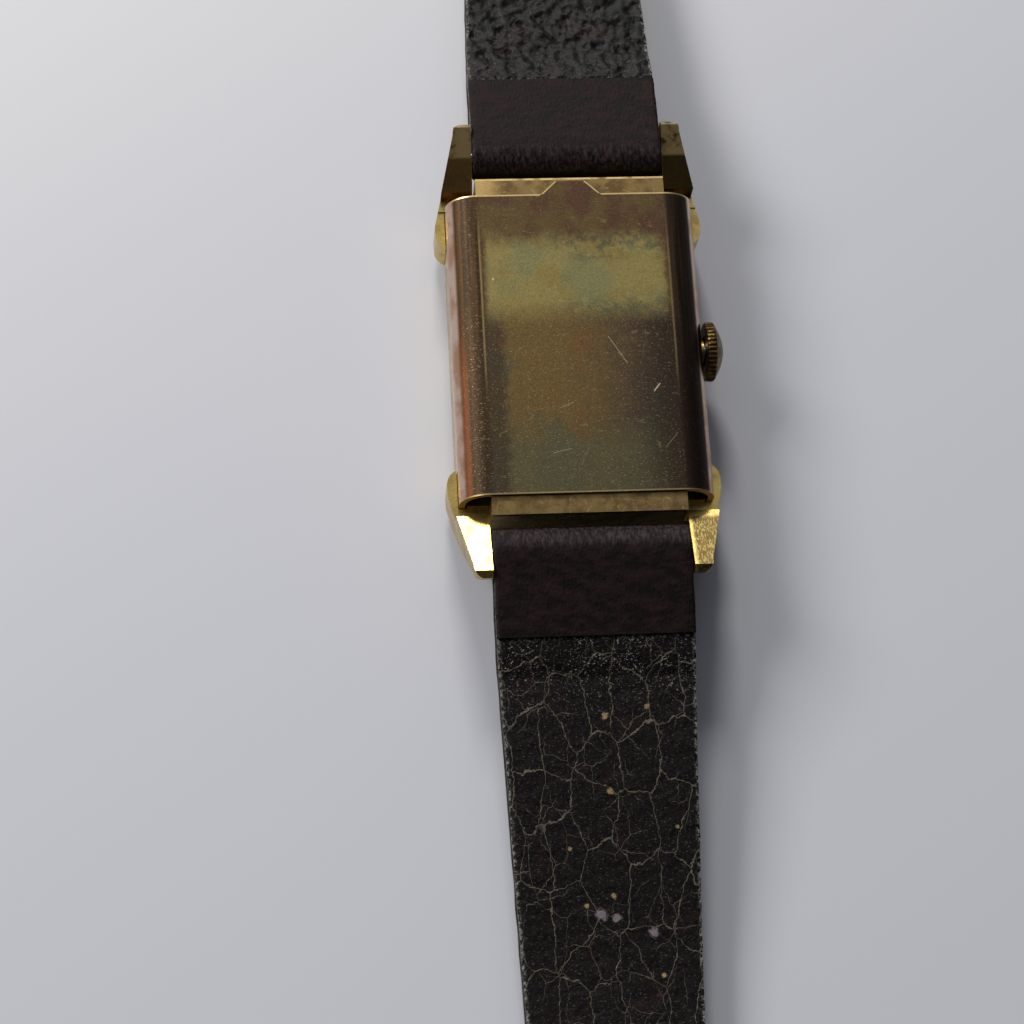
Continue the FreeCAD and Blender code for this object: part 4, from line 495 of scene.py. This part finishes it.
def halfWidth(out, half):
    # Straight taper from taperStart to taperEnd; a pointed end is two arcs that meet on the middle line
    fall = np.clip((out - strap["taperStart"]) / (strap["taperEnd"] - strap["taperStart"]), 0, 1)
    width = strap["half"] + (strap["tailHalf"] - strap["half"]) * fall
    if "tip" not in half:
        return width
    w, t = strap["tailHalf"], half["tip"]
    radius = (w * w + t * t) / w / 2 * 1.4
    chord = math.hypot(w, t)
    rise = math.sqrt(radius ** 2 - chord ** 2 / 4)
    past = np.clip(out - half["tail"], -t, 0)
    inwards = past + t / 2 + rise * w / chord
    arc = w / 2 - rise * t / chord + np.sqrt(np.maximum(radius ** 2 - inwards ** 2, 0))
    return np.where(out > half["tail"] - t, np.clip(arc, 0.06, width), width)


def underside(out, rest):
    # Straight slope down from the bar, then an arc of the landing radius, then flat at height rest
    fall = math.radians(strap["fall"])
    startU = -strap["loopRadius"] * math.sin(fall)
    startZ = strap["barHeight"] - strap["loopRadius"] * math.cos(fall)
    corner = startU + (startZ - rest) / math.tan(fall)
    reach = strap["landing"] * math.tan(fall / 2)
    leave, land = corner - reach * math.cos(fall), corner + reach
    slope = startZ - (out - startU) * math.tan(fall)
    short = np.minimum(out, land) - land
    bend = rest + strap["landing"] - np.sqrt(np.maximum(strap["landing"] ** 2 - short ** 2, 0))
    return np.where(out < leave, slope, np.where(out < land, bend, rest))


def flapTop(out):
    # Straight slope down from the top of the loop
    fall = math.radians(strap["flapFall"])
    return (strap["barHeight"] + strap["loopRadius"] * math.cos(fall)
            - (out - strap["loopRadius"] * math.sin(fall)) * math.tan(fall))


def holeCell():
    # Half width of the square of cells that becomes a round hole: half its steps across the strap
    return strap["holeSteps"] / (strap["across"] - 1) * (strap["tailHalf"] - strap["corner"])


def outSteps(start, half, step):
    # Places along the strap, with equal steps across each hole
    places = [start]
    cell = holeCell()
    for k in range(half["holes"]):
        centre = half["firstHole"] + k * half["pitch"]
        for stop, count in ((centre - cell, 0), (centre + cell, strap["holeSteps"])):
            count = count or max(2, round((stop - places[-1]) / step))
            places.extend(np.linspace(places[-1], stop, count + 1)[1:])
    tip = half["tail"] - half.get("tip", 0)
    if tip > places[-1]:
        places.extend(np.linspace(places[-1], tip, max(2, round((tip - places[-1]) / step)) + 1)[1:])
    if "tip" in half:
        places.extend(half["tail"] - half["tip"] * np.linspace(1, 0, 26)[1:] ** 1.4)
    return np.array(places)


def roundHoles(x, out, half):
    # Squares of cells are drawn out to circles: each point moves along its ray, less so further away
    cell = holeCell()
    for k in range(half["holes"]):
        aside, past = x, out - (half["firstHole"] + k * half["pitch"])
        square = np.maximum(np.maximum(np.abs(aside), np.abs(past)), 1e-6)
        factor = half["holeRadius"] / cell * square / np.maximum(np.hypot(aside, past), 1e-6)
        fade = np.clip((3 * cell - square) / (2 * cell), 0, 1)
        scale = 1 + (factor - 1) * fade
        x, out = aside * scale, out + past * (scale - 1)
    return x, out


def sweptStrap(name, out, height, thick, half, narrow, tailRows, relief=None):
    # A rectangle with rounded corners, thick through and as wide as the strap, carried square to the
    # path (out, height). Attribute edge is 1 at its sides. tailRows are the rows that the holes may cross.
    path = np.stack([out, height], 1)
    along = np.gradient(path, axis=0)
    along /= np.linalg.norm(along, axis=1)[:, None]
    normal = np.stack([-along[:, 1], along[:, 0]], 1)
    count = strap["across"]
    line = np.linspace(-1, 1, count)
    angles = np.radians([72, 36, -36, -72])
    side = np.concatenate([line, np.ones(4), line[::-1], -np.ones(4)])
    level = np.concatenate([np.ones(count), np.sign(angles), -np.ones(count), -np.sign(angles)])
    bulge = np.concatenate([np.zeros(count), np.cos(angles), np.zeros(count), -np.cos(angles)])
    lift = np.concatenate([np.ones(count), np.abs(np.sin(angles)), np.ones(count), np.abs(np.sin(angles))])
    wide = halfWidth(np.maximum(out, 0), half)[:, None] - narrow
    bend = np.minimum(np.minimum(strap["corner"], thick[:, None] * 0.49), wide * 0.8)
    x = side * (wide - bend) + bulge * bend
    rise = level * (thick[:, None] / 2 - bend + bend * lift)
    edge = np.clip(1 - (wide - np.abs(x)) / 0.45, 0, 1)
    u = np.broadcast_to(out[:, None], x.shape).copy()
    if half["holes"]:
        x[tailRows], u[tailRows] = roundHoles(x[tailRows], u[tailRows], half)
    if relief is not None:
        rise = rise + relief(x, u) * (level > 0) * (1 - edge * 0.7)
    fray = 1 + 0.004 * ripple(u, u * 0, 2.4) * edge
    u = u + normal[:, :1] * rise
    z = path[:, 1:] + normal[:, 1:] * rise
    y = (strap["barReach"] + u) * half["end"]
    rows, columns = x.shape
    i, j = np.meshgrid(np.arange(rows - 1), np.arange(columns), indexing="ij")
    after = (j + 1) % columns
    here, there = i * columns, (i + 1) * columns
    faces = np.stack([here + j, here + after, there + after, there + j], 2)
    keep = np.ones(i.shape, bool)
    walls = []
    middle, across = count // 2, strap["holeSteps"]
    reach = across // 2
    for k in range(half["holes"]):
        centre = half["firstHole"] + k * half["pitch"]
        rowsIn = np.flatnonzero((np.abs(out - centre) < holeCell() + 0.01) & tailRows)
        top, bottom = rowsIn.min(), rowsIn.max()
        mirror = 2 * count + 3  # a column on top and the one below it add up to this
        for low in (middle - reach, mirror - (middle + reach)):
            keep[top:bottom, low:low + across] = False
        r = np.concatenate([np.full(across, top), np.arange(top, bottom), np.full(across, bottom),
                            np.arange(bottom, top, -1)])
        c = middle + np.concatenate([np.arange(-reach, reach), np.full(across, reach),
                                     np.arange(reach, -reach, -1), np.full(across, -reach)])
        front, rear = r * columns + c, r * columns + mirror - c
        walls.append(np.stack([front, np.roll(front, -1), np.roll(rear, -1), rear], 1))
    faces = np.concatenate([faces[keep].reshape(-1, 4)] + walls).tolist()
    faces += [list(range(columns))[::-1], list(range((rows - 1) * columns, rows * columns))]
    points = np.stack([x * fray, y, z], 2).reshape(-1, 3) * mm
    return makePiece(name, points, faces, edge.reshape(-1))


def makePiece(name, points, faces, edge=None):
    # Mesh from arrays, its normals outwards, smooth but for edges over 40 degrees
    mesh = bpy.data.meshes.new(name)
    mesh.from_pydata(points.tolist(), [], faces)
    if edge is not None:
        wear = mesh.attributes.new("edge", "FLOAT", "POINT")
        wear.data.foreach_set("value", np.ascontiguousarray(edge, np.float32))
    work = bmesh.new()
    work.from_mesh(mesh)
    bmesh.ops.delete(work, geom=[v for v in work.verts if not v.link_faces], context="VERTS")
    bmesh.ops.recalc_face_normals(work, faces=work.faces)
    work.to_mesh(mesh)
    work.free()
    mesh.polygons.foreach_set("use_smooth", np.ones(len(mesh.polygons), bool))
    mesh.set_sharp_from_angle(angle=math.radians(40))
    piece = bpy.data.objects.new(name, mesh)
    bpy.context.collection.objects.link(piece)
    return piece


def strapLeather(half):
    # Outer leather: from the tail to the case, round the spring bar, and back on top as the flap
    out = outSteps(1.0, half, 0.45)[::-1]
    low = underside(out, half["rest"]) + strap["leather"] / 2
    fall, flapFall = math.radians(strap["fall"]), math.radians(strap["flapFall"])
    angle = np.linspace(-math.pi / 2 - fall - 0.1, -math.pi * 1.5 - flapFall + 0.1, 36)
    ring = strap["loopRadius"] - strap["loopSheet"] / 2
    loopU = (ring + strap["loopLean"] * (0 - np.cos(angle)).clip(0)) * np.cos(angle)
    loopZ = strap["barHeight"] + ring * np.sin(angle)
    flapU = np.linspace(0.9, strap["flapLength"], 44)
    flapZ = flapTop(flapU) - strap["flap"] / 2
    path = np.concatenate([out, loopU, flapU]), np.concatenate([low, loopZ, flapZ])
    sheet = np.concatenate([np.full(out.size, strap["leather"]), np.full(angle.size, strap["loopSheet"]),
                            np.full(flapU.size, strap["flap"])])
    sheet = np.convolve(np.pad(sheet, 4, "edge"), np.ones(9) / 9, "valid")
    tailRows = np.arange(path[0].size) < out.size - 3
    return sweptStrap(half["name"] + "LeatherSkin", *path, sheet, half, 0, tailRows)


def strapLining(half):
    # Inner leather, from inside the fold to the end
    flap = strap["flapLength"]
    out = np.concatenate([np.linspace(strap["liningStart"], flap - 0.1, 16), [flap, flap + 0.08, flap + 0.2],
                          outSteps(flap + 0.4, half, 0.2)])
    low = underside(out, half["rest"]) + strap["leather"] + 0.01
    plain = underside(out, half["rest"]) + strap["thickness"]
    start = flapTop(flap) - 0.25
    blend = np.clip((out - flap) / strap["blend"], 0, 1)
    top = np.where(out < flap + 0.04, flapTop(out) - strap["flap"], start * (1 - blend) + plain * blend)
    coarse = half["relief"]

    def relief(x, u):
        # Lumps of two sizes, less high towards the end of the strap
        lumps = ripple(x, u, 1.5, 12) + 0.6 * ripple(x, u, 0.7, 12)
        return coarse * lumps * np.clip((u - flap - 0.2) / 0.6, 0, 1) * np.clip((62 - u) / 20, 0.35, 1)
    return sweptStrap(half["name"] + "LiningSkin", out, (low + top) / 2, top - low, half,
                      strap["liningInset"], out > 20, relief)


oxblood = {"dark": srgb(14, 9, 9), "brown": srgb(32, 20, 19), "red": srgb(54, 22, 25),
           "loop": srgb(74, 64, 68), "gap": srgb(4, 3, 3), "rubbed": srgb(130, 118, 104)}


def leatherFinish():
    # Smooth oxblood leather, almost black, with fine pits and rubbed edges
    finish = Finish("strapLeather", Specular_IOR_Level=0.09)
    y, z = finish.axes()[1:]
    edge = finish.node("Attribute", {"attribute_name": "edge"}, output="Fac")
    pores = finish.node("TexVoronoi", {"feature": "F1"}, {"Vector": finish.place((1, 0.7, 1)), "Scale": 4.2})
    folds = finish.noise(1.3, 5, 0.65, (1, 1.8, 1))
    streak = finish.noise(0.35, 3, 0.7, (1.6, 0.35, 1))
    tone = finish.mix(oxblood["dark"], oxblood["brown"], folds.above(0.36, 0.66))
    tone = finish.mix(tone, oxblood["red"], finish.noise(0.6, 4, 0.75).above(0.6, 0.72) * 0.5)
    # Painted highlight: grey streaked sheen on the tops of the loops
    loop = abs(y).within(15, 17.4, 0.5) * z.above(6.2, 7.2)
    tone = finish.mix(tone, oxblood["loop"], loop * streak.above(0.4, 0.7) * 0.5)
    # Painted shade: near black under the loops, next to the case
    tone = finish.mix(tone, oxblood["gap"], (1 - abs(y).above(16.2, 16.9)) * (1 - z.above(6.6, 7.4)))
    speck = finish.noise(0.2, 3, 0.8).above(0.56, 0.68) * edge.above(0.5, 0.95)
    tone = finish.mix(tone, oxblood["rubbed"], speck * 0.5)
    relief = pores * 0.35 + folds + streak * 0.25
    finish.shade(Base_Color=tone, Roughness=0.5 + folds * 0.22, Normal=finish.bump(relief, 0.09, 0.7))
    return finish


def crackLines(finish, size, width, shift, stretch):
    # Borders between the cells of a Voronoi pattern, bent by a noise
    bend = finish.noise(2.4, 4, 0.6, move=(shift, 0, 0)) - 0.5
    other = finish.noise(2.4, 4, 0.6, move=(0, shift, 5)) - 0.5
    spot = finish.node("VectorMath", {"operation": "ADD"},
                       {0: finish.place((1, stretch, 1), (shift, shift, 0)),
                        1: finish.node("CombineXYZ", {}, {"X": bend * 1.6, "Y": other * 1.6})})
    cells = finish.node("TexVoronoi", {"feature": "DISTANCE_TO_EDGE", "voronoi_dimensions": "2D"},
                        {"Vector": spot, "Scale": 1 / size})
    return 1 - cells.above(width / size * 0.25, width / size)


def spots(x, out, places, noise):
    # Spots with ragged borders: each place gives x, the distance out from the bar, and a radius
    total = None
    for left, past, radius in places:
        away = ((x - left) ** 2 + (out - past) ** 2).math("SQRT") + (noise - 0.5) * radius * 2.4
        spot = 1 - away.above(radius * 0.5, radius)
        total = spot if total is None else total.math("MAXIMUM", spot)
    return total


cracked = {"black": srgb(7, 5, 5), "brown": srgb(22, 16, 14), "coarse": srgb(15, 12, 11),
           "red": srgb(30, 12, 13), "crack": srgb(112, 106, 90), "fleck": srgb(168, 164, 156),
           "knot": srgb(156, 132, 92), "rubbed": srgb(134, 122, 128)}
knots = [(0.35, 13.2, 0.34), (3.75, 12.6, 0.26), (0.48, 19.1, 0.3), (-1.8, 27.8, 0.24), (0.35, 27.1, 0.26),
         (3.9, 33.3, 0.22), (-2.9, 23.4, 0.2), (5.6, 22.0, 0.18)]
rubbed = [(-0.7, 28.5, 0.55), (0.5, 28.8, 0.4), (3.3, 30.0, 0.45)]


def liningFinish(name, half):
    # Old lining: black, split by thin pale cracks with tan knots, worn to pale flecks near fold and sides
    short = half["end"] < 0
    finish = Finish(name, Specular_IOR_Level=0.12)
    x, y = finish.axes()[:2]
    out = abs(y) - strap["barReach"]
    edge = finish.node("Attribute", {"attribute_name": "edge"}, output="Fac")
    patch = finish.noise(3.4, 3, 0.5)
    cluster = finish.noise(1.1, 3, 0.6, move=(4, 9, 0))
    small = finish.noise(0.3, 4, 0.75)
    tiny = finish.noise(0.15, 3, 0.7, (0.75, 1.2, 1), (2, 6, 1))
    lines = crackLines(finish, 2.9, 0.06, 2, 0.62) * (cluster.above(0.3, 0.62) * 0.75 + 0.25)
    thin = crackLines(finish, 1.9, 0.045, 17, 0.75) * patch.above(0.45, 0.6) * 0.6
    lines = lines.math("MAXIMUM", thin) * (1 if short else 0.3)
    tone = finish.mix(cracked["black"], cracked["brown" if short else "coarse"], small.above(0.4, 0.75))
    tone = finish.mix(tone, cracked["red"], patch.above(0.56, 0.7) * cluster.above(0.4, 0.6) * 0.7)
    tone = finish.mix(tone, cracked["crack"], lines * (0.25 + small * 0.75))
    # Flecks: crowded just beyond the fold, then few; worn sides; a pale torn line at the fold itself
    nearFold = 1 - out.above(8, 15)
    crowd = nearFold * (0.2 + cluster.above(0.4, 0.58) * 0.7)
    flecks = tiny.above(0.58, 0.68) * crowd.math("MAXIMUM", 0.15) * (1 if short else 0.2)
    sides = edge.above(0.15, 0.8) * (1 - edge.above(0.96, 1.0) * 0.6)
    worn = small.above(0.48, 0.6) * sides * (0.5 + x.above(-2, 6) * 0.5)
    worn = worn.math("MAXIMUM", small.above(0.5, 0.62) * (1 - out.above(7.12, 7.4)) * 0.7)
    tone = finish.mix(tone, cracked["fleck"], flecks.math("MAXIMUM", worn))
    if short:
        tone = finish.mix(tone, cracked["knot"], spots(x, out, knots, small) * (0.4 + cluster * 0.7))
        tone = finish.mix(tone, cracked["rubbed"], spots(x, out, rubbed, small) * 0.7)
    wrinkle = finish.node("TexVoronoi", {"feature": "SMOOTH_F1"}, {"Vector": finish.place((1, 0.85, 1)),
                                                                  "Scale": 2.4 if short else 1.5})
    relief = wrinkle * (0.4 if short else 2.4) + small * 0.6 - lines * 0.8
    finish.shade(Base_Color=tone, Roughness=(0.5 if short else 0.3) + small * 0.2,
                 Normal=finish.bump(relief, 0.14, 0.7))
    return finish


def dress(piece, finish, body, slot, *nodes):
    # Gives a new piece its finish and its body, and hides the solids it stands for. The slot argument is not
    # used.
    piece.data.materials.append(finish.material)
    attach(piece, body)
    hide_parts(*nodes)


leather = leatherFinish()
for half in (shortHalf, longHalf):
    body = half["name"] + "_strap"
    dress(strapLeather(half), leather, body, "strap_leather", body + "_leather")
    lining = liningFinish(half["name"] + "Lining", half)
    dress(strapLining(half), lining, body, "strap_lining", body + "_lining")

keeper = {"fixed": 69.0, "free": 61.0, "length": 5.0, "half": 7.05, "low": 0.45, "high": 5.85, "sheet": 0.86,
          "loopCorner": 0.28, "edgeCorner": 0.3, "faceCorner": 0.45}  # powers below 1: less is squarer


def squared(wave, power):
    # A cosine or sine pushed towards 1 and -1, so that a circle becomes a rounded rectangle
    return np.sign(wave) * np.abs(wave) ** power


def keeperLoop(name, out):
    # Flat leather loop: a rounded section carried round a rectangle with rounded corners
    turns = np.linspace(0, 2 * math.pi, 97)[:-1]
    middle, tall = (keeper["low"] + keeper["high"]) / 2, (keeper["high"] - keeper["low"]) / 2
    midX = keeper["half"] * squared(np.cos(turns), keeper["loopCorner"])
    midZ = middle + tall * squared(np.sin(turns), keeper["loopCorner"])
    step = np.stack([np.roll(midX, -1) - np.roll(midX, 1), np.roll(midZ, -1) - np.roll(midZ, 1)], 1)
    step /= np.linalg.norm(step, axis=1)[:, None]
    normal = np.stack([step[:, 1], -step[:, 0]], 1)
    around = np.linspace(0, 2 * math.pi, 33)[:-1]
    along = keeper["length"] / 2 * squared(np.cos(around), keeper["edgeCorner"])
    through = keeper["sheet"] / 2 * squared(np.sin(around), keeper["faceCorner"])
    x = midX[:, None] + normal[:, 0][:, None] * through
    z = midZ[:, None] + normal[:, 1][:, None] * through
    y = -(strap["barReach"] + out) + np.broadcast_to(along, x.shape)
    points = np.stack([x, y, z], 2).reshape(-1, 3) * mm
    rows, columns = x.shape
    i, j = np.meshgrid(np.arange(rows), np.arange(columns), indexing="ij")
    here, there, after = i * columns, (i + 1) % rows * columns, (j + 1) % columns
    faces = np.stack([here + j, there + j, there + after, here + after], 2)
    edge = np.broadcast_to(np.clip(np.abs(along) / (keeper["length"] / 2) * 8 - 7, 0, 1), x.shape)
    return makePiece(name, points, faces.reshape(-1, 4).tolist(), edge.reshape(-1))


dress(keeperLoop("fixedKeeperLoop", keeper["fixed"]), leather, "short_strap", "strap_leather", "fixed_keeper")
dress(keeperLoop("freeKeeperLoop", keeper["free"]), leather, "free_keeper", "strap_leather", "free_keeper")

bpy.context.scene.view_settings.view_transform = "Standard"
bpy.context.view_layer.update()
print("done")
